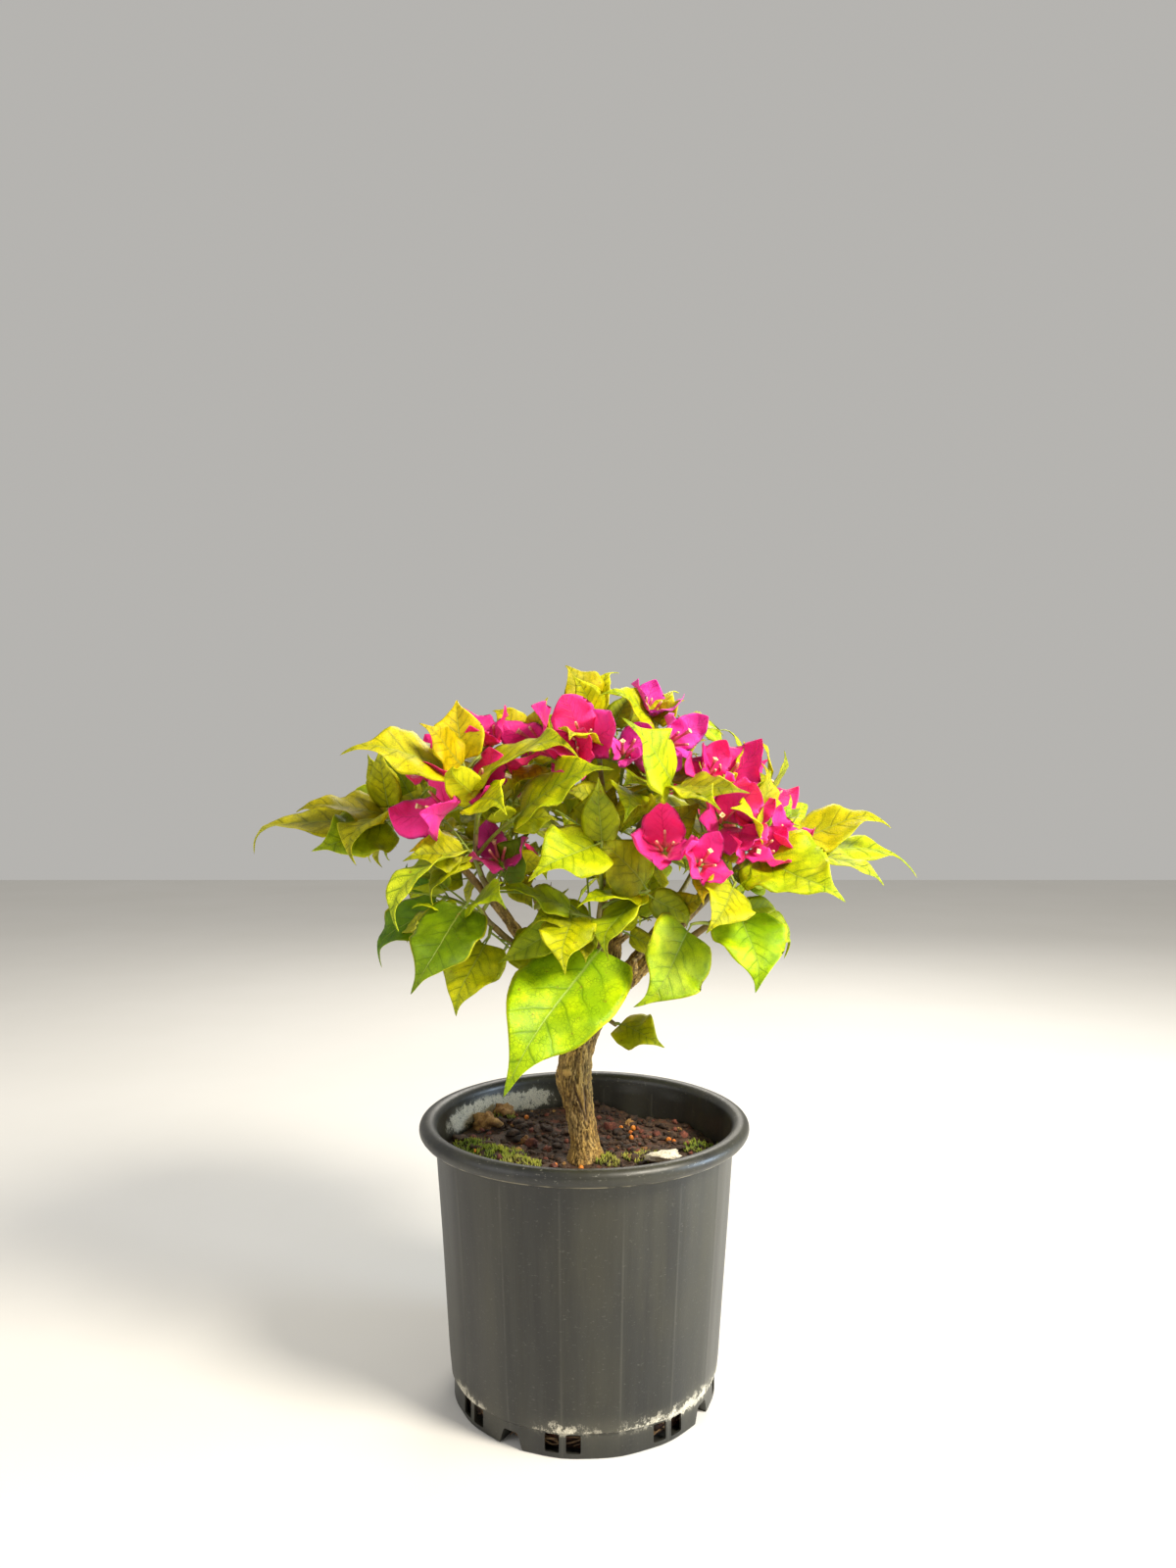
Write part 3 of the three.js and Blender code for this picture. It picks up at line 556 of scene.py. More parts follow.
# Lumps strewn over the mix, sunk a little in it, clear of the trunk.
def strew(name, material, count, sizes, detail, squash, rough, seed, places=(), lift=0):
    pile = Pile()
    between = between_from(seed)
    for i in range(count + len(places)):
        size = between(*sizes)
        radius, turn = (SOIL_RADIUS - 4) * sqrt(between(0.02, 1)), between(0, 2 * pi)
        x, y = radius * cos(turn), radius * sin(turn)
        if i >= count:
            x, y, size = places[i - count]
        if hypot(x, y) < 13 + size:
            continue
        corners, faces = lump(detail, size, squash, rough, i)
        corners = turned_about(corners, between(0, 2 * pi), between(-0.4, 0.4))
        level = soil_height(x, y) + size * squash * 0.35 + lift
        pile.add(corners + np.array([x, y, level]), faces)
    return pile.piece(name, material, "soil")


def stone_surface(dark, light, roughness):
    def surface(tree):
        place = object_place(tree)
        mottle = patch(tree, place, 130, 0.5, 0.14)
        pores = patch(tree, place, 700, 0.4, 0.08, roughness=0.7)
        base = mixed(tree, mottle["Mask"], colour(*dark), colour(*light))
        base = laid(tree, base, pores["Mask"], 0.5, [c * 0.45 for c in dark])
        roughened = ranged(tree, pores["Grain"], 0.0, 1.0, roughness, roughness + 0.2)
        return base, roughened, pores["Grain"], 0.9 * MM

    return surface


crumb = finish_of("bark_crumb", stone_surface((40, 28, 21), (84, 60, 42), 0.72))
strew("bark_crumbs", crumb, 1000, (0.7, 2.2), 1, 0.6, 0.8, 31)
strew("bark_chips", crumb, 130, (2.4, 5), 2, 0.42, 1.0, 32)
scoria = finish_of("scoria", stone_surface((92, 48, 38), (140, 78, 58), 0.7))
strew("scoria", scoria, 70, (1.0, 2.6), 2, 0.8, 0.8, 33,
      [(18, 55, 5), (-33, 22, 4.2), (-23, 14, 3.2), (30, 20, 3), (64, 35, 3.4), (47, 42, 3), (-12, -34, 4)])
clay = finish_of("clay_clod", stone_surface((134, 92, 50), (186, 144, 84), 0.78))
strew("clay_clods", clay, 30, (1.1, 2.4), 3, 0.75, 0.9, 34,
      [(-64, 45, 8.5), (-54, 62, 6.5), (-37, 27, 4), (30, 58, 3), (8, -58, 5), (-44, -40, 4)])
pellet = finish_of("feed_pellet", stone_surface((214, 112, 22), (238, 146, 44), 0.3))
strew("feed_pellets", pellet, 22, (1.4, 1.8), 2, 1, 0.08, 35, [(32, 52, 2), (54, 32, 2), (57, 28, 1.6)])
flake = finish_of("pale_flake", stone_surface((232, 222, 196), (248, 242, 226), 0.5))
strew("pale_flake", flake, 0, (1, 1), 3, 0.3, 0.5, 36, [(49, -5, 11)], 3.6)


# The roots that have reached the foot of the pot and wind round it, behind the drain windows.
def root_surface(tree):
    place = object_place(tree)
    tone = patch(tree, place, 200, 0.5, 0.2)
    # Their browns are dark: painted shade inside the foot ring, behind the drain windows, over the roots' own
    # colour.
    base = mixed(tree, tone["Mask"], colour(62, 44, 28), colour(124, 98, 64))
    return base, ranged(tree, tone["Grain"], 0.0, 1.0, 0.7, 0.9), tone["Grain"], 0.2 * MM


# Corners of a ring round its middle, one for each radius.
def ring_of(middle, side, other, radii):
    turns = [2 * pi * k / len(radii) for k in range(len(radii))]
    return [middle + (side * cos(turn) + other * sin(turn)) * radius for turn, radius in zip(turns, radii)]


ROOTS, ROOT_STEPS, ROOT_SIDES = 90, 8, 5
roots = Pile()
between = between_from(61)
for i in range(ROOTS):
    start, span, low, high = between(0, 360), between(8, 26), between(3.5, 12.5), between(3.5, 12.5)
    depth, thickness = between(2.6, 4.4), between(0.3, 0.7)
    corners, faces = [], [tuple(range(ROOT_SIDES))]
    for step in range(ROOT_STEPS + 1):
        share = step / ROOT_STEPS
        angle, height = start + span * share, low + (high - low) * share + 1.6 * sin(5 * share + i)
        middle = on_ring(FOOT_RADIUS - WALL - depth + 0.6 * sin(4 * share + i), angle, height) / MM
        corners += ring_of(middle, on_ring(1, angle, 0) / MM, Vector((0, 0, 1)), [thickness] * ROOT_SIDES)
    for low_ring in range(0, ROOT_STEPS * ROOT_SIDES, ROOT_SIDES):
        for k in range(ROOT_SIDES):
            here, after = low_ring + k, low_ring + (k + 1) % ROOT_SIDES
            faces.append((here, here + ROOT_SIDES, after + ROOT_SIDES, after))
    faces.append(tuple(range(len(corners) - 1, len(corners) - 1 - ROOT_SIDES, -1)))
    roots.add(corners, faces)
roots.piece("roots", finish_of("root", root_surface), "soil")


# Moss: cushions of short leafy shoots, set close together and leaning outwards.
def moss_surface(tree):
    place = object_place(tree)
    tone = patch(tree, place, 90, 0.5, 0.15)
    dry = patch(tree, place, 40, 0.42, 0.08)
    tip = attribute(tree, "tip")
    base = mixed(tree, tone["Mask"], colour(98, 124, 16), colour(164, 172, 44))
    base = laid(tree, base, dry["Mask"], 0.7, (176, 164, 78))
    # Each shoot darkens towards its foot: painted shade down among the close-set shoots.
    base = mixed(tree, maths(tree, "SUBTRACT", 1.0, tip), base, colour(46, 54, 16))
    return base, ranged(tree, tone["Grain"], 0.0, 1.0, 0.8, 0.95), tone["Grain"], 0.3 * MM


moss = Pile()
between = between_from(41)
for centre_x, centre_y, patch_size in MOSSY:
    for i in range(int(patch_size**2 * 1.5)):
        radius, turn = patch_size * sqrt(between(0, 1)), between(0, 2 * pi)
        x, y = centre_x + radius * cos(turn), centre_y + radius * sin(turn) * 0.8
        if not 12 < hypot(x, y) < SOIL_RADIUS - 1.5:
            continue
        if noise.noise(Vector((x, y, 0)) / 5) < -0.22:
            continue
        tall, wide = between(2.0, 4.2), between(0.6, 1.1)
        lean = np.array([between(-1, 1), between(-1, 1), 2.2])
        lean *= tall / np.linalg.norm(lean)
        ring = [(wide * cos(2 * pi * k / 4 + turn), wide * sin(2 * pi * k / 4 + turn), 0) for k in range(4)]
        corners = np.array(ring + [tuple(lean)]) + np.array([x, y, soil_height(x, y) - 0.3])
        faces = [(3, 2, 1, 0)] + [(k, (k + 1) % 4, 4) for k in range(4)]
        moss.add(corners, faces, tip=np.array([0.15] * 4 + [1.0]))
moss.piece("moss", finish_of("moss", moss_surface), "soil")


# ---- The trunk and the boughs -----------------------------------------------------------------------------
# Grey-brown wood with upright ridges of bark that part in long shallow cracks, cream lenticels, a swollen
# knot half way up the trunk, a long healed scar, and pale stubs where it was pruned above the fork. The
# boughs grow out of one another, so all of it is one skin, smoother and greener where it is younger.
GAP = 0.3
FOOT = SOIL_LEVEL + GAP

# The places that each limb runs through, and its radius along it. A stub has a foot, a tip and a radius.
LIMBS = {
    "trunk": ([(1, 0, FOOT), (0.5, 0, 146), (-3, 0, 168), (-6, 0, 187), (-4, 0, 206), (4, 0, 224),
               (11, 0, 238), (15, 0, 249)], [10.5, 8.6, 9.2, 11.2, 10.4, 9.2, 8.6, 6]),
    "bough_left": ([(8, 0, 236), (-14, -1, 252), (-31, -2, 264), (-41, -3, 277), (-50, -6, 291),
                    (-58, -12, 305)], [6.4, 5.4, 4.4, 3.4, 2.7]),
    "bough_left_far": ([(-44, -4, 282), (-64, 6, 303), (-78, 7, 318), (-92, 6, 331)], [3, 2.5, 2]),
    "bough_left_low": ([(-27, -2, 262), (-42, -12, 271), (-54, -20, 283)], [2.8, 2.3, 2]),
    "bough_front": ([(13, -1, 240), (12, -16, 254), (9, -27, 274)], [4.4, 3.4, 2.4]),
    "bough_centre": ([(14, 1, 244), (19, 6, 268), (19, 6, 298), (17, 4, 324), (13, 2, 350)],
                     [5.4, 4.6, 3.8, 3.2, 2.5]),
    "bough_top_right": ([(19, 5, 298), (29, 3, 326), (38, 0, 354)], [3, 2.5, 2]),
    "bough_right": ([(12, 0, 238), (28, -1, 248), (46, -4, 268), (60, -6, 285), (71, -10, 302)],
                    [6.2, 5.2, 4.2, 3.2, 2.5]),
    "bough_right_far": ([(56, -5, 280), (76, 2, 298), (96, 2, 318)], [2.8, 2.4, 2]),
    "bough_right_low": ([(42, -3, 264), (58, -15, 272), (73, -24, 284)], [2.8, 2.4, 2]),
    "bough_back_left": ([(4, 3, 240), (-14, 22, 262), (-32, 46, 292)], [5, 3.6, 2.5]),
    "bough_back": ([(11, 3, 244), (14, 26, 268), (12, 48, 300)], [4.8, 3.6, 2.5]),
    "bough_back_right": ([(17, 3, 242), (38, 22, 264), (60, 42, 292)], [5, 3.6, 2.5]),
}
STUBS = [((26, -3, 247), (23, -12, 259), 2.6), ((30, -2, 250), (30, -11, 262), 2.1),
         ((12, -5, 241), (16, -13, 250), 2.8), ((-30, -3, 263), (-34, -9, 262), 2.2),
         ((19, 1, 268), (27, -4, 276), 1.9), ((-40, -4, 276), (-43, -11, 280), 1.7)]
LIMB_STEP, SKIN_VOXEL = 2.5, 0.7


def unit(vector):
    return vector / np.linalg.norm(vector)


# A smooth course through space: its place at a share of its length, its direction and how long it is.
class Course:
    def __init__(self, at):
        self.at = at

    def ahead(self, share):
        low, high = max(0.0, share - 0.0001), min(1.0, share + 0.0001)
        return unit(self.at(high) - self.at(low))

    def places(self, steps):
        return np.array([self.at(i / steps) for i in range(steps + 1)])

    def length(self):
        return float(np.linalg.norm(np.diff(self.places(200), axis=0), axis=1).sum())


def through(path):
    points = [np.array(p, float) for p in path]
    last = len(points) - 1

    def at(share):
        place = last * share
        i = min(floor(place), last - 1)
        weight = place - i
        p1, p2 = points[i], points[i + 1]
        p0 = points[i - 1] if i > 0 else 2 * points[0] - points[1]
        p3 = points[i + 2] if i + 2 <= last else 2 * points[last] - points[last - 1]
        d0, d1, d2 = (((a - b) @ (a - b)) ** 0.25 for a, b in ((p0, p1), (p1, p2), (p2, p3)))
        t1 = ((p1 - p0) / d0 - (p2 - p0) / (d0 + d1) + (p2 - p1) / d1) * d1
        t2 = ((p2 - p1) / d1 - (p3 - p1) / (d1 + d2) + (p3 - p2) / d2) * d1
        c2, c3 = -3 * p1 + 3 * p2 - 2 * t1 - t2, 2 * p1 - 2 * p2 + t1 + t2
        return p1 + t1 * weight + c2 * weight**2 + c3 * weight**3

    return Course(at)


def radius_at(radii, share):
    place = share * (len(radii) - 1)
    i = min(floor(place), len(radii) - 2)
    return radii[i] + (radii[i + 1] - radii[i]) * (place - i)


COURSES = {name: through(path) for name, (path, _) in LIMBS.items()}


# A limb as a round-ended curve with a radius at each of its points.
def limb_curve(name, places, radii):
    curve = bpy.data.curves.new(name, "CURVE")
    curve.dimensions = "3D"
    curve.bevel_depth = 1
    curve.bevel_resolution = 5
    curve.use_fill_caps = True
    spline = curve.splines.new("POLY")
    spline.points.add(len(places) - 1)
    for point, place, radius in zip(spline.points, places, radii):
        point.co = (*(place * MM), 1)
        point.radius = radius * MM
    return curve


# The trunk's extra girth at a height: a flare where it meets the mix.
def flare(height):
    return 2.4 * exp(-(height - SOIL_LEVEL) / 7)


wood_shapes, spine = [], []
for name, (_, radii) in LIMBS.items():
    course = COURSES[name]
    steps = ceil(course.length() / LIMB_STEP)
    places = course.places(steps)
    widths = [radius_at(radii, i / steps) for i in range(steps + 1)]
    if name == "trunk":
        widths = [w + flare(p[2]) for w, p in zip(widths, places)]
        places[0][2] -= 1.2
    elif not name.startswith("bough_left_"):
        widths = [w + 1.6 * exp(-i * LIMB_STEP / 9) for i, w in enumerate(widths)]
    wood_shapes.append(limb_curve(name, places, widths))
    for i, (place, width) in enumerate(zip(places, widths)):
        youth = 0.0 if name == "trunk" else min(1.0, (6.5 - width) / 4.5)
        spine.append((place, width, course.ahead(i / steps), youth))
for foot, tip, radius in STUBS:
    ends = np.array([foot, tip], float)
    wood_shapes.append(limb_curve("stub", ends, [radius * 1.35, radius]))
    for share in (0, 0.5, 1):
        spine.append((ends[0] + (ends[1] - ends[0]) * share, radius, unit(ends[1] - ends[0]), 0.4))
centreline, centre_radius, centre_way, centre_age = (np.array(part) for part in zip(*spine))

wood_parts = []
for curve in wood_shapes:
    carrier = bpy.data.objects.new("limb", curve)
    bpy.context.scene.collection.objects.link(carrier)
    shown = carrier.evaluated_get(bpy.context.evaluated_depsgraph_get())
    part = bmesh.new()
    part.from_mesh(bpy.data.meshes.new_from_object(shown))
    bpy.data.objects.remove(carrier)
    bmesh.ops.remove_doubles(part, verts=part.verts, dist=1e-7)
    bmesh.ops.holes_fill(part, edges=part.edges)
    bmesh.ops.recalc_face_normals(part, faces=part.faces)
    wood_parts.append(part)
wood = piece_from(together(wood_parts), "trunk_and_boughs")
skin = wood.modifiers.new("skin", "REMESH")
skin.mode = "VOXEL"
skin.voxel_size = SKIN_VOXEL * MM
soften = wood.modifiers.new("soften", "SMOOTH")
soften.factor = 0.5
soften.iterations = 6
settle(wood)

# The skin can leave a speck of itself between two limbs, which is taken away.
whole = bmesh.new()
whole.from_mesh(wood.data)
reached = {whole.verts[:][0]}
edge_of_reach = list(reached)
while edge_of_reach:
    beyond = {edge.other_vert(corner) for corner in edge_of_reach for edge in corner.link_edges} - reached
    reached |= beyond
    edge_of_reach = list(beyond)
specks = [corner for corner in whole.verts if corner not in reached]
if len(specks) < len(reached):
    bmesh.ops.delete(whole, geom=specks, context="VERTS")
whole.to_mesh(wood.data)
whole.free()

corners = np.zeros(len(wood.data.vertices) * 3)
wood.data.vertices.foreach_get("co", corners)
corners = corners.reshape(-1, 3) / MM
nearest = np.concatenate([
    np.argmin(np.linalg.norm(some[:, None] - centreline[None], axis=2) - centre_radius[None], axis=1)
    for some in np.array_split(corners, 40)
])
off_axis = corners - centreline[nearest]
way = centre_way[nearest]
off_axis -= way * (off_axis * way).sum(1)[:, None]
outwards = off_axis / np.linalg.norm(off_axis, axis=1)[:, None]
age = centre_age[nearest]
limb_radius = centre_radius[nearest]


# The bark's height at a corner, in millimetres, and how deep in a crack it lies.
def bark_at(place, outward, radius, young):
    if young > 0.95:
        return 0.1 * noise.noise(Vector(place) / 2.2), 0.0
    lean = Vector(outward) * radius * 0.85
    stretched = Vector(place) * 0.1 + lean
    ridges = 1 - abs(noise.noise(stretched)) * 2.4
    finer = 1 - abs(noise.noise(stretched * 2.3 + Vector((4, 0, 0)))) * 2.2
    knobs = noise.noise(Vector(place) / 5.5)
    grit = noise.noise(Vector(place) / 1.3)
    deep = max(0.0, ridges - 0.35) * 1.2
    relief = -1.5 * deep**1.4 - 0.5 * max(0.0, finer) + 0.8 * knobs + 0.25 * grit
    return relief * (1 - 0.8 * young), deep


heights, cracks = np.zeros(len(corners)), np.zeros(len(corners))
for i, (place, outward, radius, young) in enumerate(zip(corners, outwards, limb_radius, age)):
    heights[i], cracks[i] = bark_at(place, outward, radius, young)

# The knot at the trunk's swelling, and the healed scar on its front: two dark seams that part upwards.
KNOT = np.array([-12.5, -6, 190])
SCAR_LOW, SCAR_HIGH, SCAR_SIDE = 162, 187, 3.7
knot = np.exp(-((np.linalg.norm(corners - KNOT, axis=1) / 6) ** 2))
heights += 1.6 * knot
on_front = np.clip(-outwards[:, 1], 0, 1)
levels = corners[:, 2]
trunk_line = np.interp(levels, [z for _, _, z in LIMBS["trunk"][0]], [x for x, _, _ in LIMBS["trunk"][0]])
opening = np.clip((levels - SCAR_LOW) / 20, 0, 1)
across_scar = np.abs(corners[:, 0] - trunk_line - SCAR_SIDE + opening)
along_scar = np.clip((levels - SCAR_LOW) / 2, 0, 1) * np.clip((SCAR_HIGH - levels) / 5, 0, 1) * on_front
healed = np.exp(-((across_scar / (1 + 2.6 * opening)) ** 2)) * along_scar
seams = np.exp(-(((across_scar - 3 * opening) / 0.6) ** 2)) * along_scar
heights = heights * (1 - 0.6 * healed) + 0.7 * healed - 1.3 * seams

corners += outwards * heights[:, None]
wood.data.vertices.foreach_set("co", (corners * MM).astype(np.float32).ravel())

# The pale ends of the stubs, where they were cut.
cut = np.zeros(len(corners))
for foot, tip, radius in STUBS:
    end = np.array(tip, float)
    beyond = (corners - end) @ unit(end - np.array(foot))
    near_end = np.linalg.norm(corners - end, axis=1) < radius + 1.6
    cut = np.maximum(cut, near_end * np.clip(beyond + 1.2, 0, 1))
point_attribute(wood.data, "crack", np.clip(cracks * (1 - 0.8 * healed), 0, 1))
point_attribute(wood.data, "young", np.clip(age, 0, 1))
point_attribute(wood.data, "scar", np.clip(seams, 0, 1))
point_attribute(wood.data, "cut", cut)
wood.data.update()
wood.data.shade_smooth()


def bark_surface(tree):
    place = object_place(tree)
    tone = patch(tree, place, 60, 0.5, 0.15, stretch=(1, 1, 0.4))
    flecks = patch(tree, place, 430, 0.22, 0.04, stretch=(1, 1, 0.7))
    fibres = patch(tree, place, 620, 0.5, 0.08, stretch=(1, 1, 0.14))
    grey = patch(tree, place, 170, 0.4, 0.1, stretch=(1, 1, 0.35))
    base = mixed(tree, tone["Mask"], colour(168, 126, 58), colour(218, 178, 98))
    base = laid(tree, base, grey["Mask"], 0.35, (178, 160, 118))
    base = laid(tree, base, fibres["Mask"], 0.6, (82, 58, 28))
    # Deep in the cracks the bark goes near black: its darker inner bark, with painted shade in the crevices.
    base = laid(tree, base, attribute(tree, "crack"), 1.15, (38, 25, 12))
    base = laid(tree, base, flecks["Mask"], 0.8, (226, 190, 108))
    base = laid(tree, base, ranged(tree, attribute(tree, "young"), 0.45, 1.0), 0.75, (122, 104, 62))
    base = laid(tree, base, attribute(tree, "scar"), 0.9, (54, 34, 44))
    base = mixed(tree, attribute(tree, "cut"), base, colour(198, 170, 116))
    relief = times_plus(tree, flecks["Mask"], 0.6, fibres["Grain"])
    return base, ranged(tree, tone["Grain"], 0.2, 0.8, 0.75, 0.92), relief, 0.5 * MM


wood.data.materials.clear()
wood.data.materials.append(finish_of("bark", bark_surface))
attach(wood, "root")
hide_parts(*LIMBS)


# ---- The twigs --------------------------------------------------------------------------------------------
# This year's growth: thin green stems that go on from each bough's tip to the heart of a mass of foliage and
# fork there. Each shoot carries its leaves one by one round it, small side twigs, and short hooked thorns.
# Every mass grows by one seeded rule; its first leaves and bracts are where the plant holds them.
CROWN_CENTRE, CROWN_REACH = np.array([0, 0, 262.0]), np.array([204, 172, 180.0])
TURN = 137.5
CLEARANCE = {"leaf": 4, "other": 7.5, "limb": 3}
UP, FRONT = np.array([0, 0, 1.0]), np.array([0, -1.0, 0])
STALK_RADIUS = 0.75
LEAF_LENGTH = (34, 58)
BRACT_LENGTH = 30
LEAF = (0.16, [0, 0.07, 0.2, 0.36, 0.55, 0.75, 0.9, 1], [0.05, 0.36, 0.86, 1, 0.82, 0.4, 0.12, 0.02])
BRACT = (0.06, [0, 0.1, 0.28, 0.45, 0.7, 0.88, 1], [0.08, 0.36, 0.8, 1, 0.84, 0.42, 0.04])
# A mass: its bough, seed, heart and shoots. A shoot: where it leaves the stem, its tip, how many more leaves
# the rule adds, its first leaves (tint, tip, width, roll and, where it isn't by chance, bend) and its bracts
# (tint, place, size).
MASSES = {
    "foliage_left": ("bough_left_far", 11, (-108, 3, 342), [
        (0.9, (-119, 2, 346), 1, [
            ("olive", -205, 12, 323, 34, 8), ("olive", -173, -12, 350, 32, 8),
            ("green", -160, -27, 328, 42, -28, 4),
            ("olive", -130, -44, 321, 30, -10, 85)], []),
        (0.5, (-107, 24, 357), 2, [("green", -131, 32, 360, 20, 0), ("lime", -126, 44, 374, 17, 20)], []),
    ]),
    "foliage_left_top": ("bough_left", 12, (-62, -28, 348), [
        (0.95, (-70, -34, 379), 1, [
            ("gold", -75, -22, 417, 30, 15), ("gold", -92, -58, 402, 26, 28),
            ("yellow", -135, -64, 384, 40, 3),
            ("lime", -2, -64, 381, 38, -25)], [("deep", -82, -16, 377, 0.9), ("deep", -55, -14, 391, 0.9)]),
        (0.8, (-60, -46, 360), 0, [("yellow", -40, -98, 352, 28, 5), ("yellow", -70, -78, 378, 20, 0)],
         [("bright", -79, -43, 352, 1.1)]),
        (0.2, (-66, -46, 330), 0, [
            ("pale", -100, -78, 288, 28, 20, 80), ("green", -84, -60, 300, 18, 15),
            ("olive", -101, -62, 325, 27, -18)],
         []),
        (0.5, (-40, -42, 348), 1, [("lime", 17, -72, 376, 40, -22), ("green", -15, -36, 346, 20, 0)], []),
    ]),
    "foliage_left_low": ("bough_left_low", 13, (-60, -28, 294), [
        (0.7, (-66, -40, 301), 0, [("deep", -94, -78, 254, 40, -10), ("green", -42, -77, 300, 24, -5)], []),
        (0.5, (-84, -14, 300), 1, [("deep", -120, -20, 258, 34, -5)], []),
        (0.1, (-56, -26, 277), 1, [("lime", -73, -46, 235, 33, -20)], []),
        (0.9, (-48, -14, 308), 0, [("deep", -30, -31, 341, 25, 20)], [("deep", -42, -4, 314, 0.75)]),
    ]),
    "foliage_front": ("bough_front", 14, (10, -38, 302), [
        (0.04, (13, -33, 276), 0, [("fresh", -43, -88, 201, 58, 0)], []),
        (0.98, (10, -50, 336), 0, [("lime", -30, -88, 316, 38, -3), ("green", 8, -52, 372, 20, 0)], []),
        (0.8, (38, -36, 306), 1, [
            ("green", 6, -45, 339, 34, 0), ("lime", -4, -60, 299, 26, 35),
            ("green", 14, -70, 271, 28, 45)], []),
        (0.5, (-8, -44, 294), 0, [
            ("lime", -10, -76, 264, 30, -3), ("green", -30, -57, 287, 18, 5),
            ("green", -52, -46, 306, 26, 40),
            ("green", -50, -38, 264, 20, -30), ("green", -2, -28, 262, 18, 0)], []),
    ]),
    "foliage_top": ("bough_centre", 24, (9, -3, 386), [
        (0.98, (8, 8, 412), 2, [("yellow", -12, 10, 440, 27, -48), ("yellow", 22, 20, 436, 16, -60)], []),
        (0.85, (2, -22, 392), 0, [("yellow", -8, -66, 392, 25, 0)],
         [("bright", 0, -24, 392, 1.15), ("deep", -26, -10, 390, 1)]),
        (0.7, (-37, 5, 391), 2, [("yellow", -57, 12, 412, 22, 8), ("yellow", -22, 0, 420, 18, 22)], []),
        (0.25, (24, -18, 366), 0, [("lime", 22, -60, 346, 26, -12)], []),
    ]),
    "foliage_top_right": ("bough_top_right", 16, (43, -6, 384), [
        (0.98, (44, 0, 404), 1, [
            ("lime", 8, -24, 419, 25, 3), ("yellow", 61, 0, 418, 15, -38), ("yellow", 60, 28, 424, 16, -60)],
         [("violet", 38, 6, 408, 0.9), ("violet", 52, -8, 392, 0.85)]),
        (0.5, (52, -44, 364), 0, [
            ("lime", 20, -88, 404, 38, -5), ("olive", 92, -64, 363, 24, -5),
            ("lime", 74, -80, 354, 26, 0)], []),
        (0.2, (36, -16, 372), 0, [("green", 22, -46, 366, 22, 0)], [("violet", 36, -14, 376, 0.9)]),
    ]),
    "foliage_right": ("bough_right", 17, (82, -20, 336), [
        (0.98, (90, -18, 362), 1, [("yellow", 95, -12, 393, 18, 8), ("lime", 78, -27, 377, 15, -25)],
         [("deep", 82, -22, 366, 1.1), ("bright", 80, -36, 345, 1)]),
        (0.9, (104, -26, 340), 1, [("yellow", 104, -22, 380, 22, 18), ("yellow", 80, -70, 355, 26, -3)], []),
        (0.6, (62, -46, 322), 1, [], [("bright", 46, -46, 330, 1), ("bright", 66, -51, 322, 0.8)]),
    ]),
    "foliage_right_far": ("bough_right_far", 28, (110, -2, 328), [
        (0.98, (120, 0, 331), 1, [
            ("lime", 205, 6, 309, 28, -15), ("yellow", 187, -2, 340, 34, -12),
            ("pale", 177, -24, 307, 34, -5)],
         [("bright", 117, -10, 334, 0.75)]),
        (0.4, (101, -20, 328), 0, [("lime", 146, -60, 302, 54, 22, -15)], []),
        (0.6, (116, 22, 336), 1, [("pale", 130, 26, 360, 16, 28), ("green", 138, 38, 350, 16, 0)], []),
    ]),
    "foliage_right_low": ("bough_right_low", 19, (84, -34, 295), [
        (0.98, (86, -48, 312), 0, [("lime", 66, -78, 287, 30, -5)], []),
        (0.9, (89, -38, 296), 1, [("fresh", 95, -64, 252, 40, 18), ("green", 122, 0, 260, 28, 5)], []),
        (0.1, (62, -34, 286), 0, [("fresh", 27, -68, 245, 42, -12)], []),
    ]),
    "foliage_trunk": ("trunk", 20, (19, -15, 223), [
        (0.9, (21, -16, 224), 0, [("lime", 47, -34, 214, 21, 5)], [])]),
    "foliage_back_left": ("bough_back_left", 21, (-48, 66, 322), []),
    "foliage_back": ("bough_back", 22, (8, 66, 344), []),
    "foliage_back_right": ("bough_back_right", 23, (76, 58, 318), []),
}
TRUNK_TWIG = (12.6, -7, 226)
FREE = {"foliage_back_left": (62, 36), "foliage_back": (58, 44), "foliage_back_right": (62, 36)}
FREE_SHOOTS, FREE_LEAVES, FREE_BRACTS = 4, 4, 0.5
FARTHEST_REACH = 110

limb_points = np.array([COURSES[name].at(i / 20) for name in LIMBS for i in range(21)])
limb_room = np.array([radius_at(LIMBS[name][1], i / 20) for name in LIMBS for i in range(21)])
grown_places, grown_owner = [], []


def turn_about(vector, axis, angle):
    across = np.cross(axis, vector) * sin(angle)
    return vector * cos(angle) + across + axis * (axis @ vector) * (1 - cos(angle))


def in_crown(places):
    reach = np.linalg.norm((places - CROWN_CENTRE) / CROWN_REACH, axis=1)
    clear_of_pot = (places[:, 2] > POT_HEIGHT + 10) | (np.hypot(places[:, 0], places[:, 1]) > RIM_RADIUS + 25)
    return bool(np.all((reach < 1) & clear_of_pot))


def has_room(samples, owner, leaf=CLEARANCE["leaf"], other=CLEARANCE["other"]):
    if not in_crown(samples):
        return False
    off = np.linalg.norm(samples[:, None] - limb_points[None], axis=2) - limb_room[None]
    if np.any(off < CLEARANCE["limb"]):
        return False
    for places, mass in zip(grown_places, grown_owner):
        clear = leaf if mass == owner else other
        if np.linalg.norm(samples.mean(0) - places.mean(0)) > FARTHEST_REACH:
            continue
        if np.any(((samples[:, None] - places[None]) ** 2).sum(2) < clear * clear):
            return False
    return True


def outward_at(place):
    flat = np.array([place[0], place[1], 0.0])
    return unit(unit(flat) * 0.5 + UP * 0.6 + FRONT * 0.5)


def bend_through(a, b, c):
    return Course(lambda t: (1 - t) ** 2 * a + 2 * (1 - t) * t * b + t * t * c)


def arching(a, b, lift):
    return bend_through(a, (a + b) / 2 + UP * lift * np.linalg.norm(a - b), b)


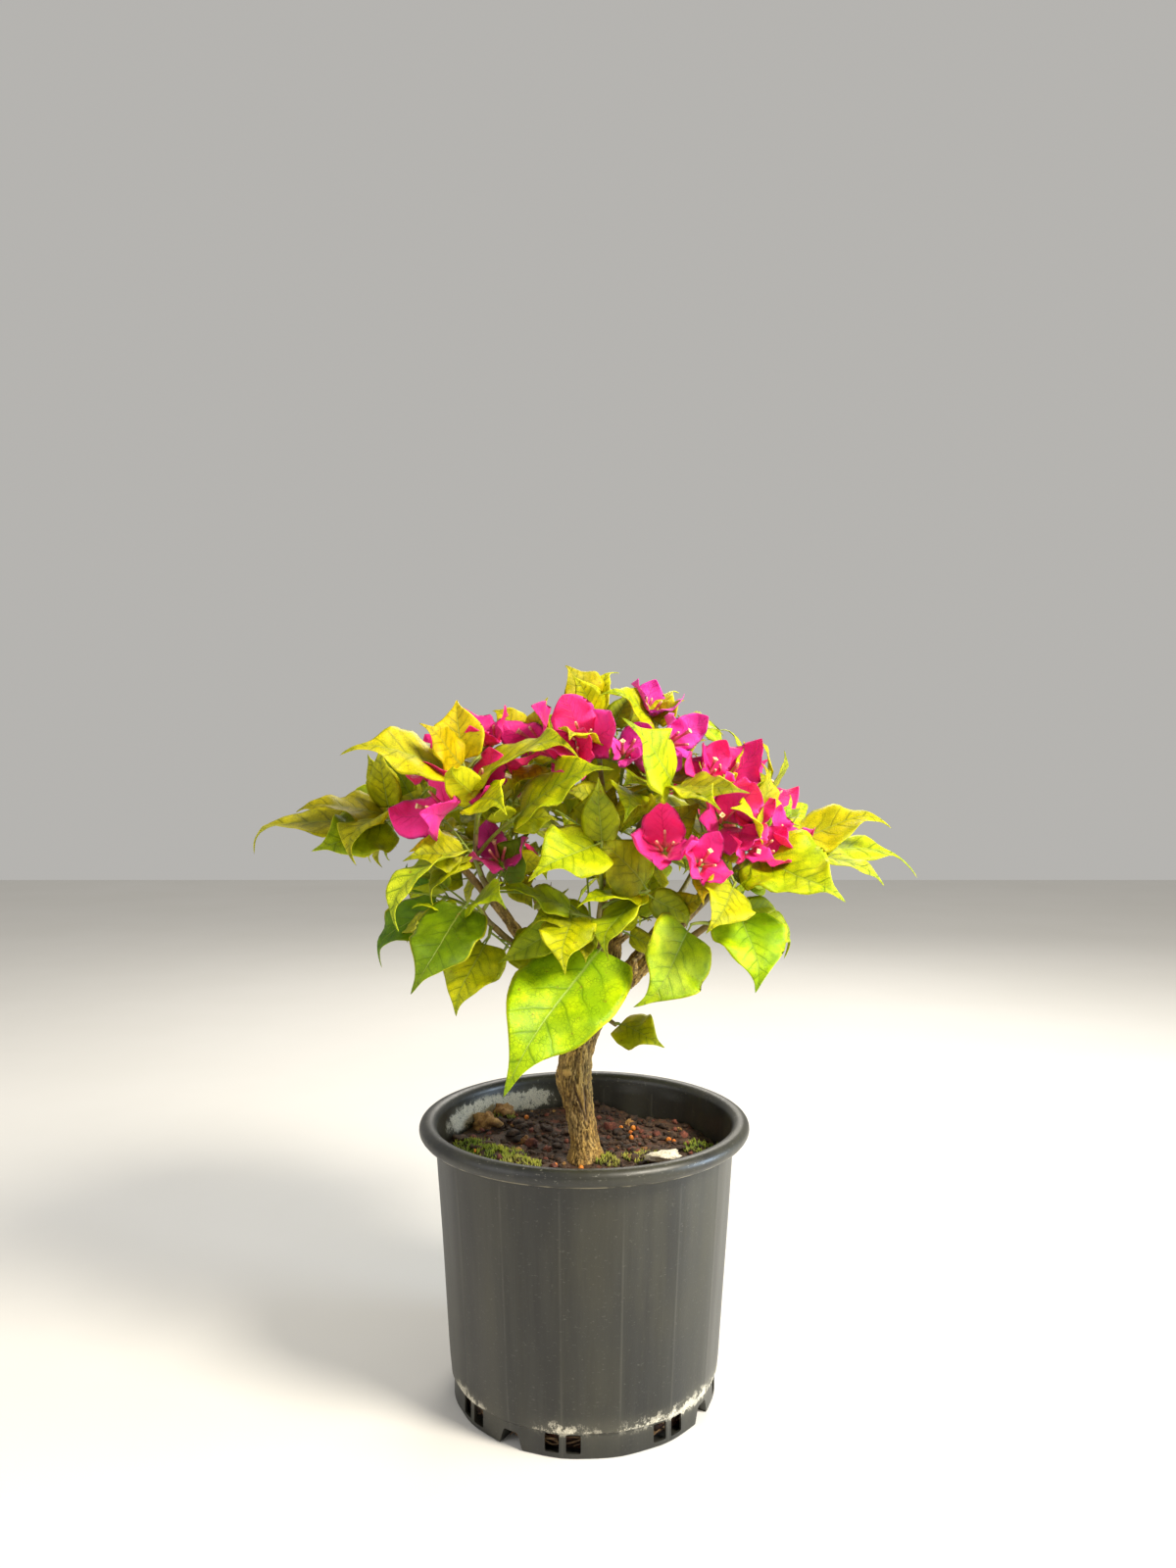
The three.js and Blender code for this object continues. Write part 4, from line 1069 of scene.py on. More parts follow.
# A blade, for a leaf or a bract: it runs from its root to its tip along one arc, and its places are given by
# the share along it, the share across it from -1 to 1, and the height above its middle surface.
class Blade:
    def __init__(self, kind, root, tip, width, facing, roll, bend, fold, twist):
        self.stalk, self.shares, self.widths = kind
        chord = tip - root
        self.length = np.linalg.norm(chord)
        self.root, self.width, self.bend, self.fold, self.twist = root, width, bend, fold, twist
        self.ahead = chord / self.length
        normal = unit(facing - self.ahead * (facing @ self.ahead))
        self.normal = turn_about(normal, self.ahead, radians(roll))

    def frame_at(self, along):
        turn = radians(self.bend)
        radius = self.length / (2 * sin(turn / 2))
        angle = (turn * (along - 0.5))[:, None]
        centre = (self.root + self.ahead * radius * (np.sin(angle) + sin(turn / 2))
                  + self.normal * radius * (np.cos(angle) - cos(turn / 2)))
        forward = self.ahead * np.cos(angle) - self.normal * np.sin(angle)
        above = self.normal * np.cos(angle) + self.ahead * np.sin(angle)
        spin = (radians(self.twist) * (along - 0.3))[:, None]
        above = above * np.cos(spin) + np.cross(forward, above) * np.sin(spin)
        return centre, forward, above, np.cross(above, forward)

    def at(self, along, across):
        centre, _, above, side = self.frame_at(along)
        share = (along - self.stalk) / (1 - self.stalk)
        on_blade = share > 0
        wide = np.maximum(0.6 * STALK_RADIUS, self.width / 2 * np.interp(share, self.shares, self.widths))
        half = np.where(on_blade, wide, STALK_RADIUS)[:, None]
        rise = np.where(on_blade, sin(radians(self.fold)), 0)[:, None]
        return (centre + side * across[:, None] * half * cos(radians(self.fold))
                + above * np.abs(across)[:, None] * half * rise)

    def samples(self):
        along, across = np.meshgrid(np.arange(2, 9) / 8, [-1, -0.5, 0, 0.5, 1], indexing="ij")
        return self.at(along.ravel(), across.ravel())


leaves, bract_blades, bract_heads, twigs, shoots = [], [], [], [], []


def keep(places, owner):
    grown_places.append(places)
    grown_owner.append(owner)


def add_twig(owner, course, radii, age=0.5):
    keep(course.places(ceil(course.length() / 4))[1:], owner)
    twigs.append((course, radii, age))
    return course


def add_leaf(owner, between, tint, root, tip, width, roll, bend=None, room=False):
    bend = between(12, 40) if bend is None else bend
    fold, twist = between(10, 26), between(-25, 25)
    blade = Blade(LEAF, root, tip, width, outward_at((root + tip) / 2), roll, bend, fold, twist)
    samples = blade.samples()
    if room and not has_room(samples, owner):
        return False
    keep(samples, owner)
    leaves.append((blade, tint, not room))
    return True


def add_bracts(owner, between, tint, root, axis, size, room):
    across = unit(np.cross(np.array([0.3, 0.8, 0.5]), axis))
    phase = between(0, 120)
    for i in range(3):
        away = turn_about(across, axis, radians(phase + 120 * i))
        length = BRACT_LENGTH * size * between(0.9, 1.1)
        base = root + away * 0.6 - axis * 1.4
        reach = root + axis * length * 0.8 + away * length * 0.6
        bend, twist = between(25, 50), between(-8, 8)
        blade = Blade(BRACT, base, reach, length * between(0.78, 0.9), away, 0, bend, 6, twist)
        samples = blade.samples()
        if room and not has_room(samples, owner):
            continue
        keep(samples, owner)
        bract_blades.append((blade, tint))
        bract_heads.append((root, axis, away, length))


# A head of bracts on a side twig of its own.
def add_head(owner, between, foot, tint, root, size, end_width):
    add_twig(owner, arching(foot, root, 0.05), (0.8, end_width), 0.9)
    add_bracts(owner, between, tint, root, unit(unit(root - foot) * 0.4 + outward_at(root)), size, False)


def start_mass(owner):
    bough, seed, heart, given_shoots = MASSES[owner]
    between = between_from(seed)
    end = np.array(heart, float)
    course, at_trunk = COURSES[bough], owner == "foliage_trunk"
    tip = np.array(TRUNK_TWIG, float) if at_trunk else course.at(1)
    ahead = unit(end - tip) if at_trunk else course.ahead(1)
    foot = tip if at_trunk else tip + ahead * GAP
    stem = bend_through(foot, foot + ahead * 0.45 * np.linalg.norm(foot - end), end)
    add_twig(owner, stem, (1.6 if at_trunk else 2, 1.3), 0.2)
    planned = [(leave, np.array(to, float), more, firsts, bracts, False)
               for leave, to, more, firsts, bracts in given_shoots]
    spread, lift = FREE.get(owner, (0, 0))
    for i in range(FREE_SHOOTS if spread else 0):
        turn = radians(between(-15, 15) + 360 / FREE_SHOOTS * i)
        out = spread * between(0.55, 0.85)
        to = end + np.array([out * cos(turn), out * sin(turn), lift * between(0, 1.1)])
        leave = between(0.5, 1)
        planned.append((leave, to, FREE_LEAVES, [], [], between(0, 1) < FREE_BRACTS))
    for leave, to, more, firsts, bracts, cluster in planned:
        shoot = add_twig(owner, arching(stem.at(leave), to, 0.1), (1.3, 0.9))
        for i, (tint, x, y, z, width, roll, *bend) in enumerate(firsts):
            root, leaf_tip = shoot.at(0.96 - 0.1 * i), np.array([x, y, z], float)
            add_leaf(owner, between, tint, root, leaf_tip, width, roll, *bend)
        for tint, x, y, z, size in bracts:
            add_head(owner, between, shoot.at(0.85), tint, np.array([x, y, z], float), size, 1.7)
        shoots.append((owner, between, shoot, more, cluster))


SPRAY_TINTS = {
    "foliage_left": ("olive", "green", "lime"), "foliage_left_top": ("lime", "gold", "green"),
    "foliage_left_low": ("deep", "green", "lime"), "foliage_front": ("green", "lime", "olive"),
    "foliage_top": ("yellow", "lime", "green"), "foliage_top_right": ("lime", "yellow", "green"),
    "foliage_right": ("yellow", "lime", "green"), "foliage_right_far": ("lime", "gold", "yellow"),
    "foliage_right_low": ("lime", "green", "yellow"), "foliage_trunk": ("green", "lime", "green"),
    "foliage_back_left": ("lime", "olive", "green"), "foliage_back": ("yellow", "lime", "green"),
    "foliage_back_right": ("lime", "yellow", "green"),
}


def fill_shoot(owner, between, shoot, more, cluster, number):
    tints = SPRAY_TINTS[owner]
    if cluster:
        root = shoot.at(1)
        axis = unit(outward_at(root) + shoot.ahead(1) * 0.5)
        add_bracts(owner, between, ("bright", "deep")[number % 2], root, axis, 1, True)
    phase = between(0, 360)
    for i in range(more):
        along = 0.96 - 0.75 * ((i + 0.3) / max(more, 3))
        root, tangent = shoot.at(along), shoot.ahead(along)
        across = unit(np.cross(np.array([0.2, 0.3, 1]), tangent))
        for attempt in range(6):
            tilt = radians(between(40, 75))
            away = turn_about(across, tangent, radians(phase + TURN * i + 60 * attempt))
            heading = tangent * cos(tilt) + away * sin(tilt)
            heading = unit(heading - UP * between(0, 0.45))
            length = between(*LEAF_LENGTH) * (1 - 0.08 * attempt)
            reach = root + heading * length
            width = length * between(0.5, 0.64)
            tint = tints[(number + i) % 3]
            if add_leaf(owner, between, tint, root, reach, width, between(-25, 25), room=True):
                break


# More heads of bracts on side twigs of a mass's shoots: tint, place and size.
MORE_HEADS = {
    "foliage_left_top": [("dull", -50, -22, 322, 0.95), ("deep", -60, -34, 364, 0.85)],
    "foliage_top": [("deep", -6, -36, 384, 0.8), ("violet", 24, -22, 384, 0.75)],
    "foliage_right": [("deep", 92, -26, 350, 0.75), ("bright", 72, -28, 372, 0.8),
                      ("bright", 94, -40, 330, 0.7)],
    "foliage_right_far": [("deep", 104, -24, 328, 0.7)],
}


def head_more(owner, between):
    for tint, x, y, z, size in MORE_HEADS.get(owner, []):
        root = np.array([x, y, z], float)
        feet = [shoot.at(share) for of, _, shoot, _, _ in shoots if of == owner for share in (0.4, 0.6, 0.8)]
        foot = min(feet, key=lambda place: np.linalg.norm(place - root))
        add_head(owner, between, foot, tint, root, size, 1.5)


for owner in MASSES:
    start_mass(owner)
for number, (owner, between, shoot, more, cluster) in enumerate(shoots):
    fill_shoot(owner, between, shoot, more, cluster, number)
for number, owner in enumerate(MORE_HEADS):
    head_more(owner, between_from(300 + number))


# Whether a blade would stand behind what has grown, as seen from the plant's front, so that the sky that
# shows between the front leaves stays open.
def shaded(samples):
    grown = np.concatenate(grown_places)
    for place in samples[::3]:
        near = np.hypot(grown[:, 0] - place[0], grown[:, 2] - place[2]) < 7
        if not np.any(near & (grown[:, 1] < place[1] - 4)):
            return False
    return True


# Side twigs of a shoot, finer than the shoots themselves, with up to four small leaves each.
BACK, FINE_CLEARANCE = 30, (2.5, 3)


def branch_finely(owner, shoot, number):
    between = between_from(400 + number)
    at_back = shoot.at(1)[1] > BACK
    count = 6 if at_back else 3
    for i in range(count):
        along = 0.3 + 0.62 * i / (count - 1)
        foot, tangent = shoot.at(along), shoot.ahead(along)
        across = unit(np.cross(np.array([0.2, 0.3, 1]), tangent))
        away = turn_about(across, tangent, radians(TURN * i + between(0, 360)))
        heading = tangent * 0.6 + away + UP * between(-0.2, 0.5) - (0 if at_back else FRONT * 0.6)
        tip = foot + unit(heading) * between(20, 42)
        course = arching(foot, tip, 0.08)
        if not in_crown(course.places(4)) or not (at_back or shaded(course.places(6))):
            continue
        grown = []
        for k in range(4):
            root, ahead = course.at(1 - 0.24 * k), course.ahead(1 - 0.24 * k)
            side = unit(np.cross(np.array([0.3, 0.1, 1]), ahead))
            for attempt in range(4):
                turned_side = turn_about(side, ahead, radians(between(0, 360)))
                way = unit(ahead * cos(radians(50)) + turned_side * sin(radians(50)) - UP * between(0, 0.35))
                length = between(26, 50) * (1 - 0.12 * attempt)
                reach = root + way * length
                facing = outward_at((root + reach) / 2)
                blade = Blade(LEAF, root, reach, length * between(0.52, 0.64), facing, between(-25, 25),
                              between(15, 45), between(8, 22), between(-20, 20))
                samples = blade.samples()
                if has_room(samples, owner, *FINE_CLEARANCE) and (at_back or shaded(samples)):
                    grown.append((blade, SPRAY_TINTS[owner][(k + i) % 3], False))
                    keep(samples, owner)
                    break
        if grown:
            keep(course.places(5)[1:], owner)
            twigs.append((course, (0.75, 0.45), 0.7))
            leaves.extend(grown)


for number, (owner, _, shoot, _, _) in enumerate(shoots):
    branch_finely(owner, shoot, number)


# The faces of a tube of rings that starts and ends at a single corner, and a round stem of that kind.
def tube_faces(sides, steps):
    faces = []
    for k in range(sides):
        after = (k + 1) % sides
        faces.append((0, 1 + after, 1 + k))
        for low in range(1, 1 + steps * sides, sides):
            faces.append((low + k, low + after, low + sides + after, low + sides + k))
        faces.append((1 + steps * sides + k, 1 + steps * sides + after, 1 + (steps + 1) * sides))
    return faces


def add_stem(pile, course, radii, sides, steps, **values):
    places = course.places(steps)
    corners = [places[0] - course.ahead(0) * radii[0] * 0.5]
    for i, place in enumerate(places):
        ahead = course.ahead(i / steps)
        side = unit(np.cross(np.array([0, 1, 0.2]), ahead))
        radius = radii[0] + (radii[1] - radii[0]) * i / steps
        corners += ring_of(place, side, np.cross(ahead, side), [radius] * sides)
    corners.append(places[-1] + course.ahead(1) * radii[1] * 0.7)
    pile.add(corners, tube_faces(sides, steps), **values)


def stem_surface(tree):
    place = object_place(tree)
    tone = patch(tree, place, 120, 0.5, 0.15)
    dots = patch(tree, place, 1500, 0.3, 0.05)
    base = mixed(tree, tone["Mask"], colour(116, 138, 30), colour(142, 160, 48))
    woody = mixed(tree, tone["Mask"], colour(112, 96, 50), colour(140, 122, 70))
    base = mixed(tree, ranged(tree, attribute(tree, "ripe"), 0.5, 1.0), woody, base)
    base = laid(tree, base, dots["Mask"], 0.4, (176, 168, 96))
    return base, ranged(tree, tone["Grain"], 0.0, 1.0, 0.42, 0.6), dots["Grain"], 0.15 * MM


THORN_SPACING = 22
stems = Pile()
between = between_from(51)
for course, radii, youth in twigs:
    steps = max(4, ceil(course.length() / 5))
    add_stem(stems, course, radii, 8, steps, ripe=min(1.0, 0.35 + youth))
    for _ in range(int(course.length() / THORN_SPACING)):
        foot, ahead = course.at(between(0.2, 0.9)), course.ahead(0.5)
        side = unit(np.cross(np.array([between(-1, 1), between(-1, 1), between(-1, 1)]), ahead))
        tip = foot + (side + ahead * 0.5) * between(2.6, 5)
        add_stem(stems, arching(foot, tip, 0.12), (0.5, 0.12), 5, 3, ripe=0.5)
stems.piece("twigs", finish_of("green_stem", stem_surface), "foliage", MASSES)


# ---- The leaves -------------------------------------------------------------------------------------------
# Soft broad blades, folded a little along the midrib, waved at the margin, and drawn out to a tip that hooks
# down. The veins are green in a blade that has yellowed between them, so each spray has its own tint, golden
# and lime at the sunny outside and deep green below. Each leaf is a closed skin half a millimetre thick.
LEAF_OUTLINE = (
    [0, 0.02, 0.05, 0.1, 0.16, 0.24, 0.32, 0.4, 0.48, 0.56, 0.64, 0.71, 0.77, 0.82, 0.87, 0.92, 0.96, 1],
    [0, 0.34, 0.58, 0.79, 0.92, 0.99, 1, 0.98, 0.91, 0.79, 0.62, 0.44, 0.3, 0.2, 0.125, 0.075, 0.045, 0],
)
BRACT_OUTLINE = ([0, 0.04, 0.1, 0.2, 0.32, 0.45, 0.58, 0.7, 0.8, 0.88, 0.94, 0.98, 1],
                 [0, 0.42, 0.7, 0.92, 1, 0.98, 0.9, 0.75, 0.56, 0.36, 0.2, 0.08, 0])
SIDE_VEINS, VEIN_LEAN, VEIN_CURVE = 6.3, 0.72, 1.2
FIRST_GRID, GROWN_GRID, BRACT_GRID = (26, 7), (11, 3), (18, 5)
LEAF_THICK, BRACT_THICK = 0.5, 0.3


# The height that quilting between the side veins gives at a plan place.
def quilted(across_plan, share):
    run = (share - VEIN_LEAN * abs(across_plan) - VEIN_CURVE * across_plan**2) * SIDE_VEINS
    return sqrt(abs(run - round(run)) * 2) if share > 0.05 else 0


# A blade's skin: rows from its stalk to its tip on both faces, that share the margin.
def add_blade(pile, blade, outline, rows, half_columns, thick, wave, hook, cup, quilts, seed, lobed=0.0):
    between = between_from(seed)
    phase, second, tone = between(0, 2 * pi), between(0, 2 * pi), between(0, 1)
    swing = (between(0, 1) - 0.5) * 2 * hook * blade.length
    columns = 2 * half_columns
    slot_of, corners, plan, under, rim, faces = {}, [], [], [], [], []
    span = 1 - blade.stalk
    for row in range(rows + 1):
        share = row / rows
        share = share - 0.06 * sin(2 * pi * share)
        half = blade.width / 2 * float(np.interp(share, *outline))
        for column in range(columns + 1):
            across = column / half_columns - 1
            if row in (0, rows) and column:
                slot_of[row, column, 0] = slot_of[row, column, 1] = slot_of[row, 0, 0]
                continue
            back = lobed * abs(across) ** 1.5 * exp(-((share / 0.13) ** 2)) * min(1, share / 0.05)
            along = blade.stalk + span * max(0.0, share - back)
            centre, _, above, side = (part[0] for part in blade.frame_at(np.array([along])))
            fold = radians(blade.fold) * (0.55 + 0.45 * share)
            plan_across = across * half / blade.length
            reach = abs(across) * half
            lift = reach * sin(fold) - cup * reach**2 / max(half, 1)
            broad_wave = sin(2 * pi * 1.6 * share + phase + 1.5 * across)
            fine_wave = 0.45 * sin(2 * pi * 3.7 * share + second - across)
            ripple = wave * abs(across) ** 1.5 * sin(pi * min(1, share * 1.1)) * (broad_wave + fine_wave)
            quilt = quilts * (quilted(plan_across, share) - 0.5) * min(1, half / 8) * (1 - abs(across) ** 3)
            crown = hook * blade.length * sin(pi * share**2.4)
            trail = swing * sin(pi * share**1.9)
            place = centre + side * (across * half * cos(fold) + trail)
            place = place + above * (lift + ripple + quilt + crown)
            thickness = thick / 2 * (1 + 1.4 * exp(-((across * half / 0.7) ** 2)) * (1 - share))
            on_rim = column in (0, columns) or row in (0, rows)
            for face_of in (0, 1):
                if on_rim and face_of:
                    slot_of[row, column, 1] = slot_of[row, column, 0]
                    continue
                slot_of[row, column, face_of] = len(corners)
                offset = 0 if on_rim else (thickness if face_of == 0 else -thickness * 1.3)
                corners.append(place + above * offset)
                plan.append((0.5 + plan_across, share))
                under.append(0.0 if face_of == 0 else 1.0)
                rim.append(abs(across))
    for row in range(rows):
        for column in range(columns):
            for face_of in (0, 1):
                ring = [slot_of[row, column, face_of], slot_of[row, column + 1, face_of],
                        slot_of[row + 1, column + 1, face_of], slot_of[row + 1, column, face_of]]
                ring = [corner for i, corner in enumerate(ring) if corner != ring[i - 1]]
                if len(ring) > 2:
                    faces.append(tuple(ring[::-1] if face_of == 0 else ring))
    pile.add(corners, faces, plan=np.array(plan), under=np.array(under), rim=np.array(rim), tone=tone)


# The stalk of a leaf, from its twig to a little way under the blade, where it goes on as the midrib.
def add_petiole(pile, blade):
    course = Course(lambda t: blade.frame_at(np.array([t * (blade.stalk + 0.02)]))[0][0])
    add_stem(pile, course, (STALK_RADIUS * 0.9, STALK_RADIUS * 0.62), 6, 4, ripe=1.0)


# Veins on a blade, from its plan: the midrib, the side veins that curve forward from it, the fine net between
# them, and the height that they raise.
veins, given = group_of("veins", ("Plan",), ("Side veins", "Lean", "Net size"),
                        ("Rib", "Veins", "Net", "Halo", "Height"))
wobble = node(veins, "TexNoise", {"Vector": given["Plan"], "Scale": 8.0, "Detail": 3.0}).outputs[1]
nudge = node(veins, "VectorMath", {0: wobble, 1: (0.5, 0.5, 0.5)}, operation="SUBTRACT").outputs[0]
nudge = node(veins, "VectorMath", {0: nudge, "Scale": 0.05}, operation="SCALE").outputs[0]
plan = node(veins, "VectorMath", {0: given["Plan"], 1: nudge}, operation="ADD").outputs[0]
parts = node(veins, "SeparateXYZ", {0: plan}).outputs
straight = node(veins, "SeparateXYZ", {0: given["Plan"]}).outputs
from_middle = maths(veins, "ABSOLUTE", maths(veins, "SUBTRACT", straight[0], 0.5))
aside = maths(veins, "SUBTRACT", parts[0], 0.5)
off = maths(veins, "ABSOLUTE", aside)
taper = times(veins, maths(veins, "SUBTRACT", 1.15, straight[1]), 0.011)
rib = maths(veins, "SUBTRACT", 1.0, maths(veins, "DIVIDE", from_middle, taper, clamp=True), clamp=True)
left = times(veins, maths(veins, "GREATER_THAN", aside, 0.0), 0.42)
lean = maths(veins, "MULTIPLY_ADD", off, VEIN_CURVE, given["Lean"])
run = maths(veins, "SUBTRACT", parts[1], times(veins, off, lean))
run = maths(veins, "MULTIPLY_ADD", run, given["Side veins"], left)
from_vein = maths(veins, "PINGPONG", run, 0.5)
thin = maths(veins, "SUBTRACT", 0.11, times(veins, off, 0.2))
side_vein = maths(veins, "SUBTRACT", 1.0, maths(veins, "DIVIDE", from_vein, thin, clamp=True), clamp=True)
inward = ranged(veins, off, 0.02, 0.27, 1.0, 0.3)
side_vein = times(veins, side_vein, inward)
halo = times(veins, ranged(veins, from_vein, 0.0, 0.3, 1.0, 0.0), inward)
halo = maths(veins, "MAXIMUM", halo, ranged(veins, off, 0.0, 0.045, 1.0, 0.0))
cells = node(veins, "TexVoronoi", {"Vector": plan, "Scale": given["Net size"]}, feature="DISTANCE_TO_EDGE",
             voronoi_dimensions="2D").outputs["Distance"]
fine_size = times(veins, given["Net size"], 2.6)
fine = node(veins, "TexVoronoi", {"Vector": plan, "Scale": fine_size}, feature="DISTANCE_TO_EDGE",
            voronoi_dimensions="2D").outputs["Distance"]
worn = node(veins, "TexNoise", {"Vector": given["Plan"], "Scale": 17.0, "Detail": 4.0}).outputs[0]
kept = ranged(veins, worn, 0.36, 0.62, 0.2, 0.85)
net = times(veins, ranged(veins, cells, 0.0, 0.24, 1.0, 0.0), kept)
fine_net = times(veins, ranged(veins, fine, 0.0, 0.3, 1.0, 0.0), 0.42)
net = maths(veins, "MAXIMUM", net, fine_net)
raised = maths(veins, "MAXIMUM", rib, times(veins, side_vein, 0.7))
raised = maths(veins, "MAXIMUM", raised, times(veins, net, 0.3))
give_out(veins, {"Rib": rib, "Veins": side_vein, "Net": net, "Halo": halo, "Height": raised})


def plan_of(tree):
    return node(tree, "UVMap", uv_map="plan").outputs[0]


def veins_on(tree, side_veins, lean, net_size):
    inputs = {"Plan": plan_of(tree), "Side veins": side_veins, "Lean": lean, "Net size": net_size}
    return node(tree, "Group", inputs, node_tree=veins).outputs


# A base colour that differs a little from blade to blade, in its hue and its brightness.
def varied(tree, base, hues, values):
    tone = attribute(tree, "tone")
    inputs = {"Hue": ranged(tree, tone, 0.0, 1.0, *hues), "Value": ranged(tree, tone, 0.0, 1.0, *values),
              "Color": base}
    return node(tree, "HueSaturation", inputs).outputs[0]


# A thin skin that light comes through, in a colour that spreads by so much of its red, green and blue.
def thin_finish(name, surface, bleed, specular, **plain):
    plain |= {"Subsurface Weight": 0.2, "Subsurface Scale": 0.002, "Subsurface Radius": bleed,
              "Specular IOR Level": specular}
    return finish_of(name, surface, **plain)


# A leaf's surface: the tint between the veins, the green of the veins, and how far that green has spread.
def leaf_surface(blade_tint, patch_tint, vein_tint, spread, vein_strength):
    def surface(tree):
        place, under = object_place(tree), attribute(tree, "under")
        vein = veins_on(tree, SIDE_VEINS, VEIN_LEAN, 46.0)
        share = node(tree, "SeparateXYZ", {0: plan_of(tree)}).outputs
        ripening = patch(tree, place, 34, 0.5, 0.2)
        blotch = patch(tree, place, 85, spread, 0.12)
        off_rib = maths(tree, "ABSOLUTE", maths(tree, "SUBTRACT", share[0], 0.5))
        near_rib = times(tree, ranged(tree, off_rib, 0.0, 0.16, 1.0, 0.0),
                         ranged(tree, share[1], 0.0, 0.7, 1.0, 0.25))
        greener = maths(tree, "MAXIMUM", times(tree, near_rib, spread),
                        times(tree, blotch["Mask"], 0.5))
        base = mixed(tree, ripening["Mask"], colour(*blade_tint), colour(*patch_tint))
        base = mixed(tree, greener, base, colour(*vein_tint))
        base = laid(tree, base, vein["Halo"], 0.4 * vein_strength, vein_tint)
        lines = maths(tree, "MAXIMUM", times(tree, vein["Net"], 0.8),
                      times(tree, vein["Veins"], 0.85))
        base = laid(tree, base, lines, vein_strength, [c * 0.66 for c in vein_tint])
        base = laid(tree, base, vein["Rib"], 0.6, (158, 174, 76))
        base = laid(tree, base, ranged(tree, attribute(tree, "rim"), 0.93, 1.0), 0.6, (240, 234, 24))
        specks = patch(tree, place, 380, 0.12, 0.02)
        base = laid(tree, base, specks["Mask"], 0.7, (120, 84, 24))
        base = varied(tree, base, (0.485, 0.512), (0.88, 1.1))
        base = laid(tree, base, under, 0.35, (196, 204, 30))
        roughness = times_plus(tree, ripening["Grain"], 0.16, times_plus(tree, under, 0.2, 0.4))
        skin = patch(tree, place, 1100)
        relief = times_plus(tree, vein["Height"], -0.7, times(tree, skin["Grain"], 0.3))
        return base, roughness, relief, 0.35 * MM

    return surface


TINTS = {
    "gold": ((236, 196, 0), (216, 186, 0), (142, 134, 0), 0.4, 0.9),
    "yellow": ((230, 216, 0), (208, 200, 0), (126, 142, 0), 0.45, 0.9),
    "lime": ((222, 220, 0), (194, 202, 0), (104, 134, 0), 0.5, 0.9),
    "fresh": ((200, 214, 2), (164, 192, 0), (90, 132, 0), 0.6, 0.75),
    "pale": ((220, 230, 48), (196, 212, 28), (96, 138, 10), 0.45, 1.0),
    "olive": ((212, 200, 0), (182, 178, 0), (102, 110, 0), 0.5, 0.9),
    "green": ((190, 196, 0), (160, 176, 0), (86, 112, 0), 0.5, 0.75),
    "deep": ((120, 154, 0), (92, 130, 0), (54, 88, 0), 0.5, 0.55),
}
leaf_piles = {tint: Pile() for tint in TINTS}
petioles = Pile()

# The first leaves are the largest and the nearest, so they have finer skins, short stalks and a little more
# width, the leaf on the trunk most of all.
TRUNK_LEAF_BELOW = 230
for number, (blade, tint, first) in enumerate(leaves):
    if first:
        blade.stalk, blade.width = 0.07 if blade.width > 50 else 0.1, blade.width * 1.1
        if blade.root[2] < TRUNK_LEAF_BELOW:
            blade.stalk, blade.width = 0.03, blade.width * 1.2
    rows, half_columns = FIRST_GRID if first else GROWN_GRID
    wave, quilts = (0.085, 0.6) if first else (0.045, 0)
    hook = 0.05 + 0.08 * random_from(700 + number)()
    add_blade(leaf_piles[tint], blade, LEAF_OUTLINE, rows, half_columns, LEAF_THICK, wave * blade.width, hook,
              0.1, quilts, 900 + number, 0.1)
    add_petiole(petioles, blade)
for tint, pile in leaf_piles.items():
    skin = thin_finish("leaf_" + tint, leaf_surface(*TINTS[tint]), (1.0, 0.9, 0.05), 0.2)
    pile.piece("leaves_" + tint, skin, "foliage", MASSES)
petioles.piece("leaf_stalks", bpy.data.materials["green_stem"], "foliage", MASSES)


# ---- The bracts -------------------------------------------------------------------------------------------
# What looks like the blossom: papery magenta leaves, three round each group of flowers, crinkled along a net
# of darker veins, brighter where the sun reaches them and duller inside the crown.
def bract_surface(blade_tint, vein_tint):
    def surface(tree):
        place = object_place(tree)
        vein = veins_on(tree, 7.0, 0.95, 20.0)
        faded = patch(tree, place, 60, 0.4, 0.2)
        base = laid(tree, colour(*blade_tint), faded["Mask"], 0.6, [min(255, c + 26) for c in blade_tint])
        lines = maths(tree, "MAXIMUM", vein["Rib"], times(tree, vein["Veins"], 0.8))
        lines = maths(tree, "MAXIMUM", lines, times(tree, vein["Net"], 0.45))
        base = laid(tree, base, lines, 0.7, vein_tint)
        share = node(tree, "SeparateXYZ", {0: plan_of(tree)}).outputs[1]
        base = mixed(tree, ranged(tree, share, 0.0, 0.16, 0.55, 0.0), base, colour(150, 150, 70))
        base = varied(tree, base, (0.49, 0.51), (0.86, 1.12))
        crease = patch(tree, place, 260, 0.5, 0.2, roughness=0.7)
        relief = times_plus(tree, vein["Height"], 0.8, times(tree, crease["Grain"], 0.5))
        return base, ranged(tree, faded["Grain"], 0.0, 1.0, 0.45, 0.65), relief, 0.5 * MM

    return surface


